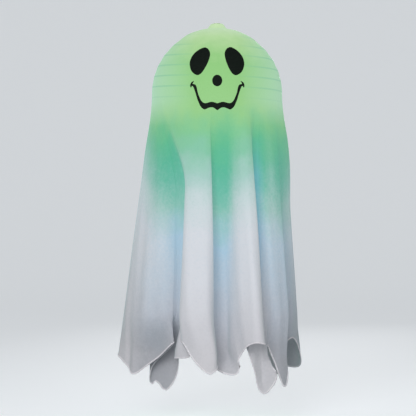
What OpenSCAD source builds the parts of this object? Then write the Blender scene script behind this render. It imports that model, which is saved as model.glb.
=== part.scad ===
// Hanging ghost lantern: a lit wire-ribbed globe under one thin cloth that falls in folds.
// Millimetres, +Z up, face towards -Y. The origin is the top of the eyelet that the lantern hangs from.

/* [Overall] */
// Height from the top of the eyelet to the lowest tip of the hem
overall_h = 602; // [480:1:720]
// Height of the crown's knob above the round of the head
knob_h = 9.3; // [8.5:0.1:12]

/* [Lantern globe] */
// Outer diameter of the round shade
globe_d = 206; // [165:1:248]
// Thickness of the shade's skin
shade_wall = 0.8; // [0.6:0.1:1.2]
// Diameter of the two mouth rings, at the middle of their wire
mouth_ring_d = 66; // [60:1:80]
// Wire diameter of the mouth rings
ring_wire_d = 2.4; // [2:0.1:3]
// Wire diameter of the spiral rib
rib_wire_d = 1.2; // [1:0.1:1.6]
// Turns of the spiral rib from mouth to mouth
rib_turns = 11; // [8:1:13]
// Angle where the rib starts under the upper ring, from the face towards +X
rib_start = 313; // [0:1:359]
// Tapered strips that the shade is glued up from
shade_strips = 12; // [8:1:16]
// Wire diameter of the expander frame
expander_wire_d = 2.2; // [1.8:0.1:2.6]
// Bend radius of the expander's four corners
expander_bend_r = 5; // [4:0.5:6]
// How far the expander's legs stand outside the mouth rings
leg_offset = 4; // [3:0.5:5]
// Length of the hooked tips that locate the expander in the lower ring
hook_len = 5; // [3:0.5:8]

/* [Cloth] */
// Thickness of the cloth
cloth_wall = 1.2; // [1:0.1:1.5]
// Room between the shade and the cloth that lies over it
cloth_gap = 1.7; // [1.6:0.1:2.5]
// Angle where each fold starts at the hem, from the face towards +X
valley_angle = [-33, 6, 36, 72, 117, 160, 205, 252]; // [-33:1:320]
// Distance from the axis to the crest of each fold at the hem
ridge_reach = [152, 150, 140, 137, 146, 142, 150, 166]; // [130:1:180]
// Distance from the axis to the hollow where each fold starts at the hem
valley_reach = [104, 100, 104, 108, 102, 106, 102, 112]; // [95:1:120]
// How far the crest of each fold ends above the lowest tip
ridge_rise = [36, 78, 14, 46, 56, 62, 54, 38]; // [0:1:80]
// How far the hollow where each fold starts ends above the lowest tip
valley_rise = [14, 34, 0, 54, 60, 66, 66, 56]; // [0:1:80]
// Share of a fold's width by which its sides lap over
fold_lap = 0.08; // [0:0.01:0.1]
// How the folds open from the head to the hem: 1 is an even cone
fold_growth = 0.8; // [0.6:0.05:1.2]
// Turn of the even cloth on the head against the folds at the hem
fold_turn = -7; // [-15:1:15]

/* [Crown eyelet] */
// Diameter of the hole that a hook or cord goes through
eyelet_bore_d = 5; // [4:0.5:6]
// Thickness of the eyelet's sheet metal
eyelet_wall = 0.5; // [0.4:0.1:0.6]
// Diameter of the eyelet's flange on top of the cloth
eyelet_flange_d = 10.4; // [9.5:0.1:11]
// Diameter of the washer under the cloth
washer_d = 9.8; // [9:0.1:10]
// Thickness of the washer
washer_t = 0.5; // [0.4:0.1:0.7]

/* [Hanger cap] */
// Diameter of the cap's flat top
cap_top_d = 15.2; // [14.5:0.1:18]
// Radius of the cap's rounded shoulder
cap_shoulder_r = 3; // [2:0.1:3.5]
// Height of the cap's head from its rim to its flat top
cap_head_h = 8; // [7.6:0.1:8.6]
// Diameter of the cap's rim
cap_rim_d = 30.4; // [29:0.1:33]
// Thickness of the cap's rim
cap_rim_t = 2.5; // [2:0.1:4]
// Bore in the cap that takes the hook
cap_bore_d = 10.4; // [10.4:0.1:11]
// Depth of that bore
cap_bore_h = 8.7; // [8:0.1:9.5]
// Diameter of the cross pin that the hook goes round
hang_pin_d = 2.4; // [2:0.1:2.6]
// Depth of the cross pin below the eyelet
hang_pin_depth = 7.5; // [7:0.1:8]
// Diameter of the cap's neck
neck_d = 15.2; // [14:0.1:17]
// Diameter at the bottom of the groove for the expander's loop
groove_d = 10.6; // [9:0.1:11]
// Length of neck between the expander's loop and the light unit
neck_len = 9; // [7:0.5:12]
// Diameter of the flange that the case traps
flange_d = 20; // [18:0.5:24]
// Thickness of that flange
flange_t = 2; // [1.5:0.1:2.5]

/* [Light unit case] */
// Wall of the front shell
shell_wall = 1.8; // [1.5:0.1:2.2]
// Corner radius of the case seen from the front
case_corner_r = 6; // [5:0.5:8]
// Wall between the battery bay and the case's sides
side_wall = 5; // [4.5:0.1:6]
// Wall between the battery bay and the case's ends
end_wall = 7; // [6.5:0.1:9]
// Floor between the batteries and the circuit board
bay_floor = 1.5; // [1.2:0.1:2]
// Thickness of the sliding door
door_t = 1.7; // [1.5:0.1:2]
// Width of each tongue along the door's sides
tongue_w = 1.5; // [1.2:0.1:1.8]
// Thickness of each tongue
tongue_t = 0.8; // [0.6:0.1:0.9]
// Number of grip grooves across the door
door_grips = 4; // [3:1:6]

/* [Batteries] */
// Diameter of an AAA cell
cell_d = 10.5; // [10:0.1:12.6]
// Length of an AAA cell with its button
cell_len = 44.5; // [40:0.1:53.4]
// Diameter of the cell's button
button_d = 3.8; // [3:0.1:4.2]
// Height of the cell's button
button_h = 1; // [0.8:0.1:1.2]
// Space between neighbouring cells
cell_space = 0.7; // [0.5:0.1:1]
// Thickness of the contact strips
plate_t = 0.4; // [0.3:0.1:0.5]
// Width of a contact strip on one cell
plate_w = 8; // [7:0.1:9]
// Height of a contact strip
plate_h = 9; // [8:0.1:9.5]
// Width of the soldering tabs
tab_w = 3; // [2.5:0.1:4]
// Length of a contact spring with its cell in place
spring_len = 6.7; // [6.2:0.1:8]
// Diameter of a contact spring, at the middle of its wire
spring_d = 6.4; // [5:0.1:7]
// Wire diameter of the contact springs
spring_wire_d = 0.7; // [0.5:0.1:0.8]
// Turns of a contact spring
spring_turns = 4; // [3:1:4]

/* [Circuit] */
// Width of the circuit board
board_w = 27; // [24:0.5:27]
// Thickness of the circuit board
board_t = 1.2; // [1:0.1:1.6]
// Height of the two posts that carry the board
post_h = 7; // [7:0.1:9]
// Diameter of those posts
post_d = 5; // [4.5:0.1:6]
// Room behind the board for its parts
board_back = 3; // [2.6:0.1:4]
// Diameter of a lamp's bulb
led_d = 3; // [3:0.1:3.4]
// Distance between neighbouring lamps
led_pitch = 6; // [5:0.5:7]
// Distance from the board's face to the lamps' axis
led_stand = 2.4; // [2.2:0.1:3]
// How far the straight part of a lamp stands out below the case
led_reach = 2; // [1.5:0.1:3]
// Outer radius of the frosted cover under the lamps
diffuser_r = 6.2; // [5.5:0.1:6.4]
// Wall of the frosted cover
diffuser_wall = 1; // [0.8:0.1:1.4]

/* [Switch] */
// Travel of the slider between on and off
switch_travel = 4; // [3:0.5:5]
// Width of the slider's stem
stem_w = 2.2; // [2:0.1:3]
// Height of the switch's body above the board
switch_h = 3.6; // [3:0.1:4]
// Width of the slider's thumb pad
pad_w = 8; // [7:0.5:10]
// Thickness of the thumb pad
pad_t = 1.4; // [1.2:0.1:2]
// Number of grip ribs on the thumb pad
pad_ribs = 3; // [2:1:5]

/* [Screws] */
// Shank diameter of the case screws
case_screw_d = 2.2; // [2:0.1:2.4]
// Head diameter of the case screws
case_head_d = 4; // [3.6:0.1:4.2]
// Head height of the case screws
case_head_h = 1.6; // [1.2:0.1:2]
// Length of the case screws' shanks
case_screw_len = 12; // [9:0.5:13]
// Diameter of the bosses round the case screws
boss_d = 6.4; // [6:0.1:6.8]
// Shank diameter of the board screws
board_screw_d = 1.6; // [1.4:0.1:2]
// Head diameter of the board screws
board_head_d = 3.4; // [3:0.1:3.8]

/* [Fits] */
// Gap between pieces that are assembled together
fit_gap = 0.3; // [0.2:0.05:0.4]
// Gap between wires that rest on each other
touch_gap = 0.1; // [0.05:0.05:0.15]
// Radial gap round pins and screws
pin_gap = 0.05; // [0.03:0.01:0.1]

/* [Hidden] */
$fn = 64;

// Small overrun that lets a cut pass through a face
cut = 1;

// The globe, its rings and its rib
globe_r = globe_d / 2;
shade_in_r = globe_r - shade_wall;
cloth_in_r = globe_r + cloth_gap;
cloth_r = cloth_in_r + cloth_wall;
globe_z = -knob_h - cloth_r;
ring_r = mouth_ring_d / 2;
ring_wire_r = ring_wire_d / 2;
ring_h = sqrt(pow(globe_r - ring_wire_r, 2) - pow(ring_r, 2));
mouth_r = ring_r + ring_wire_r + fit_gap;
rib_r = rib_wire_d / 2;
rib_path_r = shade_in_r - fit_gap - rib_r;
rib_end_h = ring_h - ring_wire_r - fit_gap - rib_wire_d;
rib_end_r = norm([ring_r, rib_end_h]);
loop_rings = 24;
tube_sides = 6;

// The expander frame, bent to a hundredth of a millimetre
expander_r = expander_wire_d / 2;
arm_h = floor(100 * (ring_h - ring_wire_r - touch_gap - expander_r)) / 100;
leg_x = ring_r + leg_offset;
corner_x = leg_x - expander_bend_r;
corner_h = arm_h - expander_bend_r;
hook_bend_r = 3;
hook_x = ring_r - ring_wire_r - expander_r - 2 * hook_bend_r;
groove_r = groove_d / 2;
loop_r = groove_r + fit_gap + expander_r;
loop_z = globe_z + arm_h;
neck_r = neck_d / 2;

// The eyelet and the cloth's flat top
eyelet_r = eyelet_bore_d / 2;
barrel_r = eyelet_r + eyelet_wall;
cloth_top_z = -eyelet_wall - fit_gap;
cloth_under_z = cloth_top_z - cloth_wall;
washer_top_z = cloth_under_z - touch_gap;
barrel_end_z = washer_top_z - washer_t - pin_gap - eyelet_wall;
roll_w = 0.7;

// The cap's head in section: flat top, rounded shoulder, and a flank that slopes from the shoulder to the rim
cap_top_z = cloth_under_z - fit_gap;
cap_rim_r = cap_rim_d / 2;
cap_rim_z = cap_top_z - cap_head_h;
cap_under_z = cap_rim_z - cap_rim_t;
shoulder = [cap_top_d / 2, cap_top_z - cap_shoulder_r];
cap_rim = [cap_rim_r, cap_rim_z];
to_rim = cap_rim - shoulder;
flank_tilt = atan2(to_rim.y, to_rim.x) + acos(cap_shoulder_r / norm(to_rim));
// Width of cloth at the knob's foot before it lies on the round of the head
foot_w = 3;

// The case, worked out from the cells
case_top_z = loop_z - neck_len;
flange_top_z = case_top_z - shell_wall - fit_gap;
cell_pitch = cell_d + cell_space;
bay_w = 2 * cell_pitch + cell_d + 4 * fit_gap;
bay_len = cell_len + spring_len + 2 * plate_t;
bay_top_z = case_top_z - end_wall;
bay_end_z = bay_top_z - bay_len;
case_w = bay_w + 2 * side_wall;
case_h = bay_len + 2 * end_wall;
case_end_z = case_top_z - case_h;
case_mid_z = (case_top_z + case_end_z) / 2;
cell_y = bay_floor + fit_gap + cell_d / 2;
bay_y = cell_y + cell_d / 2 + fit_gap;
door_y = bay_y + fit_gap;
rear_y = door_y + door_t;
front_y = -(shell_wall + post_h + board_t + board_back);
board_front_y = front_y + shell_wall + post_h;
board_back_y = board_front_y + board_t;
board_margin = 0.5;
board_h = bay_len + 2 * board_margin;

// The door and its grooves
door_lap = 0.6;
door_w = bay_w + 2 * door_lap;
door_top_gap = 3;
door_top_z = bay_top_z + door_top_gap;
groove_w = tongue_w + fit_gap;
groove_t = tongue_t + 2 * fit_gap;
grip_pitch = 3;
grip_w = 1.2;
grip_depth = 0.5;

// The screws' places on the case
boss_r = boss_d / 2;
boss_x = case_w / 2 - shell_wall - boss_r;
boss_z = case_h / 2 - shell_wall - boss_r;
screw_sink = 8;
screw_seat_y = front_y + screw_sink;
post_x = 9;
post_rise = 17;
post_z = case_mid_z + post_rise;
board_head_h = 1.2;
board_screw_len = 5;

// The lamps and the switch
led_y = board_front_y - led_stand;
led_r = led_d / 2;
led_wall_gap = 0.15;
led_collar_w = 0.45;
led_collar_r = led_r + led_collar_w;
led_collar_h = 1;
led_leg_r = 0.25;
led_leg_x = 1;
led_leg_h = 5;
stem_y = board_front_y - switch_h;
switch_w = 4.4;
switch_len = 9;
switch_pocket_h = 2.4;
slot_len = stem_w + switch_travel + 2 * fit_gap;
slot_z = case_mid_z;
stem_on_z = slot_z + switch_travel / 2;
pad_len = slot_len + switch_travel;
pad_rib_h = 0.6;
pad_rib_w = 1;

// The folds of the cloth
fold_count = len(valley_angle);
fold_steps = 7;
rise_steps = floor(fold_steps / 2);
skirt_points = fold_count * fold_steps;
crown_points = skirt_points / 2;
skirt_shares = [0.12, 0.3, 0.55, 0.8, 1];
crown_rows = 6;
crown_start = asin((cap_rim_r + fit_gap + cloth_wall + foot_w) / cloth_r);
crown_angles = [for (j = [0:crown_rows]) mix(crown_start, 90, j / crown_rows)];
shoulder_angles = [90, (90 + flank_tilt) / 2, flank_tilt];

// Point at an angle from the face towards +X
function around(angle, reach, z) = [reach * sin(angle), -reach * cos(angle), z];
function unit(v) = v / norm(v);
function mix(a, b, share) = a + (b - a) * share;

// Value along one fold: from its first hollow, over its flat crest, to the next hollow
function swell(share) = (1 - cos(180 * min(1, min(share, 1 - share) * fold_steps / rise_steps))) / 2;
function over_fold(low, high, next, share) = mix(share < 0.5 ? low : next, high, swell(share));
function fold_of(k) = floor(k / fold_steps);
function share_of(k) = (k % fold_steps) / fold_steps;
function next_fold(i) = (i + 1) % fold_count;
function fold_end(i) = valley_angle[next_fold(i)] + (i == fold_count - 1 ? 360 : 0);

// The hem: angle, reach and height of point k
function hem_angle(k) =
    let (i = fold_of(k), s = share_of(k))
    mix(valley_angle[i], fold_end(i), s + fold_lap * sin(720 * s));
function hem_reach(k) =
    let (i = fold_of(k))
    over_fold(valley_reach[i], ridge_reach[i], valley_reach[next_fold(i)], share_of(k));
function hem_z(k) =
    let (i = fold_of(k))
    over_fold(valley_rise[i], ridge_rise[i], valley_rise[next_fold(i)], share_of(k)) - overall_h;

// The skirt between the head's widest line and the hem
function even_angle(k) = valley_angle[0] + fold_turn + 360 * k / skirt_points;
function skirt_point(k, share) =
    let (open = pow(share, fold_growth))
    around(
        mix(even_angle(k), hem_angle(k), open),
        mix(cloth_r, hem_reach(k), open),
        mix(globe_z, hem_z(k), share)
    );
function skirt_ring(share) = [for (k = [0:skirt_points - 1]) skirt_point(k, share)];

// The same ring moved inwards by the cloth's thickness, square to the folds
function inner_ring(ring) =
    let (n = len(ring))
    [
        for (k = [0:n - 1])
            let (along = unit(ring[(k + 1) % n] - ring[(k + n - 1) % n]))
            ring[k] + cloth_wall * unit([-along.y, along.x, 0])
    ];

// The crown at a distance outside the cap: flat top, shoulder and flank of the knob, then the round of the head
function way_out(angle) = [cos(angle), sin(angle)];
function on_shoulder(out, angle) = shoulder + (cap_shoulder_r + out) * way_out(angle);
function head_profile(radius) = [for (a = crown_angles) [radius * sin(a), globe_z + radius * cos(a)]];
function crown_profile(out, head) = concat(
    [[barrel_r + fit_gap, cap_top_z + out]],
    [for (a = shoulder_angles) on_shoulder(out, a)],
    [cap_rim + out * way_out(flank_tilt)],
    head_profile(head)
);
function crown_ring(p) = [for (k = [0:crown_points - 1]) around(even_angle(2 * k), p[0], p[1])];
function flat(rings) = [for (ring = rings) for (p = ring) p];

// Faces of a band between two rings of n points, and of a band that doubles the points
function band(upper, lower, n) = [
    for (k = [0:n - 1])
        let (m = (k + 1) % n)
        each [[upper + k, upper + m, lower + m], [upper + k, lower + m, lower + k]]
];
function doubling_band(upper, lower, n) = [
    for (k = [0:n - 1])
        let (m = (k + 1) % n, a = lower + 2 * k, b = lower + (2 * k + 2) % (2 * n))
        each [
            [upper + k, upper + m, a + 1], [upper + k, a + 1, a], [upper + m, b, a + 1],
        ]
];
function turned(faces) = [for (f = faces) [f[0], f[2], f[1]]];

// All bands of one side of the cloth, from the point number where that side starts
function side_faces(start, crown_rings, skirt_rings) =
    let (skirt = start + crown_rings * crown_points)
    concat(
        [
            for (j = [0:crown_rings - 2])
                each band(start + j * crown_points, start + (j + 1) * crown_points, crown_points)
        ],
        doubling_band(skirt - crown_points, skirt, crown_points),
        [
            for (j = [0:skirt_rings - 2])
                each band(skirt + j * skirt_points, skirt + (j + 1) * skirt_points, skirt_points)
        ]
    );

// Rings of points round a path, and the faces of the closed tube that they make
function heading(path, i) = unit(path[min(i + 1, len(path) - 1)] - path[max(i - 1, 0)]);
function tube_points(path, outward, radius) = [
    for (i = [0:len(path) - 1])
        let (
            along = heading(path, i),
            a = unit(outward[i] - (outward[i] * along) * along),
            b = cross(along, a)
        )
        for (s = [0:tube_sides - 1])
            path[i] + radius * (cos(360 * s / tube_sides) * a + sin(360 * s / tube_sides) * b)
];
function tube_faces(count) = concat(
    [for (s = [1:tube_sides - 2]) [0, s, s + 1]],
    [
        for (i = [0:count - 2], s = [0:tube_sides - 1])
            let (p = i * tube_sides, q = p + tube_sides, m = (s + 1) % tube_sides)
            each [[p + s, q + s, q + m], [p + s, q + m, p + m]]
    ],
    let (e = (count - 1) * tube_sides)
    [for (s = [1:tube_sides - 2]) [e, e + s + 1, e + s]]
);
module tube(path, outward, radius)
    polyhedron(tube_points(path, outward, radius), tube_faces(len(path)), convexity = 10);

// Least gap between one turn of a wound wire and the next
function self_gap(path, per_turn, wire_d) = min([
    for (i = [0:len(path) - 1])
        for (j = [i + per_turn / 2:min(i + 2 * per_turn, len(path) - 1)])
            norm(path[i] - path[j]) - wire_d
]);

// The spiral rib: it starts under the upper ring and ends over the lower ring
rib_stations = rib_turns * loop_rings;
function rib_ease(share) = pow(max(0, 1 - 2 * rib_turns * min(share, 1 - share)), 2);
function rib_point(i) =
    let (
        share = i / rib_stations,
        h = mix(rib_end_h, -rib_end_h, share),
        ball = mix(rib_path_r, rib_end_r, rib_ease(share))
    )
    around(rib_start + 360 * i / loop_rings, sqrt(pow(ball, 2) - pow(h, 2)), globe_z + h);
rib_turned = [for (i = [0:rib_stations]) rib_point(i)];
rib_path = concat(
    [rib_turned[0] + [0, 0, rib_wire_d]], rib_turned, [rib_turned[rib_stations] - [0, 0, rib_wire_d]]
);
rib_outward = [for (p = rib_path) unit([p.x, p.y, 0])];

// A contact spring: straight ends square to the strip and the cell, turns between them
curl_rings = 8;
spring_stations = spring_turns * curl_rings;
spring_turned = [
    for (i = [0:spring_stations])
        around(
            360 * i / curl_rings,
            spring_d / 2,
            mix(spring_wire_d, spring_len - spring_wire_d, i / spring_stations)
        )
];
spring_path = concat(
    [spring_turned[0] - [0, 0, spring_wire_d]],
    spring_turned,
    [spring_turned[spring_stations] + [0, 0, spring_wire_d]]
);
spring_outward = [for (p = spring_path) unit([p.x, p.y, 0])];

// Front view outline of the case, grown or shrunk by a margin
module case_outline(margin) {
    w = case_w + 2 * margin;
    h = case_h + 2 * margin;
    r = case_corner_r + margin;
    square([w - 2 * r, h], center = true);
    square([w, h - 2 * r], center = true);
    for (x = [-1, 1], z = [-1, 1])
        translate([x * (w / 2 - r), z * (h / 2 - r)])
            circle(r);
}

// Front view outline pushed through the case from one depth to another
module case_block(margin, from_y, to_y)
    translate([0, to_y, case_mid_z])
        rotate([90, 0, 0])
            linear_extrude(to_y - from_y)
                case_outline(margin);

// Round bar along Y
module bar_y(x, z, radius, from_y, to_y)
    translate([x, to_y, z])
        rotate([90, 0, 0])
            cylinder(r = radius, h = to_y - from_y);

// Box given by its lowest and highest corners
module box(low, high)
    translate(low)
        cube(high - low);

module at_bosses()
    for (x = [-boss_x, boss_x], z = [-boss_z, boss_z])
        translate([x, 0, case_mid_z + z])
            children();

module at_posts()
    for (x = [-post_x, post_x])
        translate([x, 0, post_z])
            children();

module at_lamps()
    for (i = [-1:1])
        translate([i * led_pitch, led_y, case_end_z])
            children();

// The round hole that the two shells leave for the cap's neck, and the pocket for its flange
module neck_room() {
    translate([0, 0, case_top_z - shell_wall - cut])
        cylinder(r = neck_r + fit_gap, h = shell_wall + 2 * cut);
    translate([0, 0, flange_top_z - flange_t - fit_gap])
        cylinder(d = flange_d + 2 * fit_gap, h = flange_t + 2 * fit_gap);
}

// Thin cloth laid over the globe, gathered into folds below the head
module ghost_drape() {
    outer_crown = crown_profile(fit_gap + cloth_wall, cloth_r);
    inner_crown = crown_profile(fit_gap, cloth_in_r);
    outer_skirt = [for (share = skirt_shares) skirt_ring(share)];
    inner_skirt = [for (ring = outer_skirt) inner_ring(ring)];
    outer = concat(flat([for (p = outer_crown) crown_ring(p)]), flat(outer_skirt));
    inner = concat(flat([for (p = inner_crown) crown_ring(p)]), flat(inner_skirt));
    n = len(outer);
    hem = n - skirt_points;
    faces = concat(
        side_faces(0, len(outer_crown), len(outer_skirt)),
        turned(side_faces(n, len(inner_crown), len(inner_skirt))),
        band(hem, n + hem, skirt_points),
        band(n, 0, crown_points)
    );
    color("honeydew")
        polyhedron(concat(outer, inner), faces, convexity = 10);
}

// Pressed eyelet: flange on the cloth, barrel through it, end rolled over the washer
module crown_eyelet()
    color("silver")
        translate([0, 0, barrel_end_z])
            difference() {
                union() {
                    cylinder(r = barrel_r, h = -barrel_end_z);
                    cylinder(r = barrel_r + roll_w, h = eyelet_wall);
                    translate([0, 0, -barrel_end_z - eyelet_wall])
                        cylinder(d = eyelet_flange_d, h = eyelet_wall);
                }
                translate([0, 0, -cut])
                    cylinder(r = eyelet_r, h = -barrel_end_z + 2 * cut);
            }

module eyelet_washer()
    color("silver")
        translate([0, 0, washer_top_z - washer_t])
            difference() {
                cylinder(d = washer_d, h = washer_t);
                translate([0, 0, -cut])
                    cylinder(r = barrel_r + pin_gap, h = washer_t + 2 * cut);
            }

// Thin round shade, open at both mouths, in tapered strips from mouth to mouth that meet edge to edge
module lantern_shade() {
    strip_turn = 360 / shade_strips;
    strip_angle = strip_turn - touch_gap / globe_r * 180 / PI;
    color("palegreen")
        for (i = [0:shade_strips - 1])
            translate([0, 0, globe_z])
                rotate([0, 0, i * strip_turn])
                    rotate_extrude(angle = strip_angle)
                        intersection() {
                            difference() {
                                circle(globe_r);
                                circle(shade_in_r);
                            }
                            translate([mouth_r, -globe_r])
                                square([globe_r, globe_d]);
                        }
}

// One unbroken wire, wound inside the shade from mouth to mouth
module rib_wire() {
    echo(str("Least gap of the rib wire to itself, mm: ", self_gap(rib_turned, loop_rings, rib_wire_d)));
    color("gainsboro")
        tube(rib_path, rib_outward, rib_r);
}

module mouth_ring(side)
    color("lightgray")
        translate([0, 0, globe_z + side * ring_h])
            rotate_extrude()
                translate([ring_r, 0])
                    circle(ring_wire_r);

module top_ring() mouth_ring(1);

module bottom_ring() mouth_ring(-1);

// Wire elbow in the XZ plane about the origin, from one angle to another
module elbow(bend_r, from_angle, to_angle)
    rotate([90, 0, 0])
        rotate([0, 0, from_angle])
            rotate_extrude(angle = to_angle - from_angle)
                translate([bend_r, 0])
                    circle(expander_r);

module bar_x(from_x, to_x, h)
    translate([from_x, 0, h])
        rotate([0, 90, 0])
            cylinder(r = expander_r, h = to_x - from_x);

// Half of the expander: arm under the upper ring, leg, foot over the lower ring, hooked tip
module expander_half() {
    foot_x = hook_x + hook_bend_r;
    bar_x(loop_r, corner_x, arm_h);
    translate([corner_x, 0, corner_h])
        elbow(expander_bend_r, 0, 90);
    translate([leg_x, 0, -corner_h])
        cylinder(r = expander_r, h = 2 * corner_h);
    translate([corner_x, 0, -corner_h])
        elbow(expander_bend_r, -90, 0);
    bar_x(foot_x, corner_x, -arm_h);
    translate([foot_x, 0, -arm_h - hook_bend_r])
        elbow(hook_bend_r, 90, 180);
    translate([hook_x, 0, -arm_h - hook_bend_r - hook_len])
        cylinder(r = expander_r, h = hook_len);
}

// Bent wire that holds the two mouth rings apart and hangs in the groove of the cap's neck
module expander_frame()
    color("darkgray")
        translate([0, 0, globe_z]) {
            translate([0, 0, arm_h])
                rotate_extrude()
                    translate([loop_r, 0])
                        circle(expander_r);
            expander_half();
            mirror([1, 0, 0])
                expander_half();
        }

// Moulded knob: sloping head with a rounded shoulder, grooved neck, flange trapped in the case
module hanger_cap()
    color("whitesmoke")
        difference() {
            rotate_extrude()
                difference() {
                    union() {
                        translate(shoulder)
                            circle(cap_shoulder_r);
                        polygon([
                            [0, cap_under_z], [cap_rim_r, cap_under_z], cap_rim,
                            on_shoulder(0, flank_tilt), [shoulder.x, cap_top_z], [0, cap_top_z],
                        ]);
                        translate([0, flange_top_z])
                            square([neck_r, cap_under_z - flange_top_z]);
                        translate([0, flange_top_z - flange_t])
                            square([flange_d / 2, flange_t]);
                    }
                    translate([groove_r, loop_z - expander_r - fit_gap])
                        square([neck_r, expander_wire_d + 2 * fit_gap]);
                    translate([0, cap_top_z - cap_bore_h])
                        square([cap_bore_d / 2, cap_bore_h + cut]);
                }
            bar_y(0, -hang_pin_depth, hang_pin_d / 2 + pin_gap, -cap_rim_r, cap_rim_r);
        }

// Steel pin across the cap's bore
module hang_pin() {
    pin_top_z = hang_pin_d / 2 - hang_pin_depth;
    pin_reach = cap_rim_r - (pin_top_z - cap_rim_z) * tan(flank_tilt) - 2 * fit_gap;
    color("silver")
        bar_y(0, -hang_pin_depth, hang_pin_d / 2, -pin_reach, pin_reach);
}

// Front half of the case: a tray with screw bosses, board posts, lamp holes and the switch slot
module front_shell()
    color("ghostwhite")
        difference() {
            union() {
                difference() {
                    case_block(0, front_y, 0);
                    case_block(-shell_wall, front_y + shell_wall, cut);
                }
                at_bosses()
                    bar_y(0, 0, boss_r, front_y + shell_wall, 0);
                at_posts()
                    bar_y(0, 0, post_d / 2, front_y + shell_wall / 2, board_front_y);
            }
            at_bosses() {
                bar_y(0, 0, case_head_d / 2 + fit_gap, front_y - cut, screw_seat_y);
                bar_y(0, 0, case_screw_d / 2 + pin_gap, screw_seat_y - cut, cut);
            }
            at_posts()
                bar_y(0, 0, board_screw_d / 2 + pin_gap, board_front_y - board_screw_len, cut);
            at_lamps()
                translate([0, 0, -cut])
                    cylinder(r = led_r + led_wall_gap, h = shell_wall + 2 * cut);
            translate([-stem_w / 2 - fit_gap, front_y - cut, slot_z - slot_len / 2])
                cube([stem_w + 2 * fit_gap, shell_wall + 2 * cut, slot_len]);
            neck_room();
        }

// Low ribs across the bay floor, hollowed to the cells
module cradle_ribs() {
    rib_t = 1.6;
    rib_top_y = bay_floor + cell_d / 4;
    for (side = [-1, 1])
        difference() {
            translate([-bay_w / 2, bay_floor - fit_gap, case_mid_z + side * cell_len / 4 - rib_t / 2])
                cube([bay_w, rib_top_y - bay_floor + fit_gap, rib_t]);
            for (i = [-1:1])
                translate([i * cell_pitch, cell_y, bay_end_z])
                    cylinder(r = cell_d / 2 + fit_gap, h = bay_len);
        }
}

// Rear half of the case: battery bay, door grooves open at the lower end
module rear_shell() {
    groove_half = door_w / 2 + fit_gap;
    color("ghostwhite") {
        difference() {
            case_block(0, 0, rear_y);
            box([-bay_w / 2, bay_floor, bay_end_z], [bay_w / 2, rear_y + cut, bay_top_z]);
            box([-groove_half, bay_y, case_end_z - cut], [groove_half, rear_y + cut, door_top_z + fit_gap]);
            box(
                [-groove_half - groove_w, bay_y, case_end_z - cut],
                [groove_half + groove_w, bay_y + groove_t, door_top_z + fit_gap]
            );
            at_bosses()
                bar_y(0, 0, case_screw_d / 2 + pin_gap, -cut, screw_seat_y + case_screw_len + fit_gap);
            for (end = [0, 1])
                tab_slot(end);
            neck_room();
        }
        cradle_ribs();
    }
}

// Slot in the bay floor for the soldering tab at the upper (0) or lower (1) end
module tab_slot(end) {
    x = end == 0 ? -cell_pitch : cell_pitch;
    z = end == 0 ? bay_top_z - plate_t - fit_gap : bay_end_z;
    box(
        [x - tab_w / 2 - fit_gap, -cut, z],
        [x + tab_w / 2 + fit_gap, bay_floor + cut, z + plate_t + fit_gap]
    );
}

// Sliding door with a tongue along each side and grip grooves near its lower end
module battery_door() {
    half = door_w / 2;
    color("ghostwhite")
        difference() {
            union() {
                box([-half, door_y, case_end_z], [half, rear_y, door_top_z]);
                box([-half - tongue_w, door_y, case_end_z], [half + tongue_w, door_y + tongue_t, door_top_z]);
            }
            for (i = [1:door_grips])
                translate([-half / 2, rear_y - grip_depth, case_end_z + i * grip_pitch])
                    cube([half, grip_depth + cut, grip_w]);
        }
}

// One AAA cell: its button meets the upper strip (up = 1) or the lower one (up = -1)
module cell(i, up) {
    mid_z = (bay_top_z + bay_end_z) / 2 + up * spring_len / 2;
    color("dimgray")
        translate([i * cell_pitch, cell_y, mid_z])
            rotate([up > 0 ? 0 : 180, 0, 0])
                translate([0, 0, -cell_len / 2]) {
                    cylinder(d = cell_d, h = cell_len - button_h);
                    cylinder(d = button_d, h = cell_len);
                }
}

module battery_1() cell(-1, 1);

module battery_2() cell(0, -1);

module battery_3() cell(1, 1);

// One contact strip from cell to cell, flat on an end of the bay
module strip(from_i, to_i, z)
    box(
        [from_i * cell_pitch - plate_w / 2, cell_y - plate_h / 2, z],
        [to_i * cell_pitch + plate_w / 2, cell_y + plate_h / 2, z + plate_t]
    );

// Soldering tab that runs through the bay floor to the back of the board
module tab(i, z)
    box(
        [i * cell_pitch - tab_w / 2, board_back_y, z],
        [i * cell_pitch + tab_w / 2, cell_y, z + plate_t]
    );

// Four strips that join the cells in a row, two of them with tabs
module contact_plates() {
    upper_z = bay_top_z - plate_t;
    color("silver") {
        strip(-1, -1, upper_z);
        tab(-1, upper_z);
        strip(0, 1, upper_z);
        strip(-1, 0, bay_end_z);
        strip(1, 1, bay_end_z);
        tab(1, bay_end_z);
    }
}

// Coil springs on the flat ends of the cells
module contact_springs() {
    low_z = bay_end_z + plate_t;
    high_z = bay_top_z - plate_t - spring_len;
    echo(str(
        "Least gap of a contact spring to itself, mm: ",
        self_gap(spring_turned, curl_rings, spring_wire_d)
    ));
    color("silver")
        for (i = [-1:1])
            translate([i * cell_pitch, cell_y, i == 0 ? high_z : low_z])
                tube(spring_path, spring_outward, spring_wire_d / 2);
}

module circuit_board()
    color("seagreen")
        difference() {
            box(
                [-board_w / 2, board_front_y, case_mid_z - board_h / 2],
                [board_w / 2, board_back_y, case_mid_z + board_h / 2]
            );
            at_posts()
                bar_y(0, 0, board_screw_d / 2 + pin_gap, board_front_y - cut, board_back_y + cut);
        }

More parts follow.
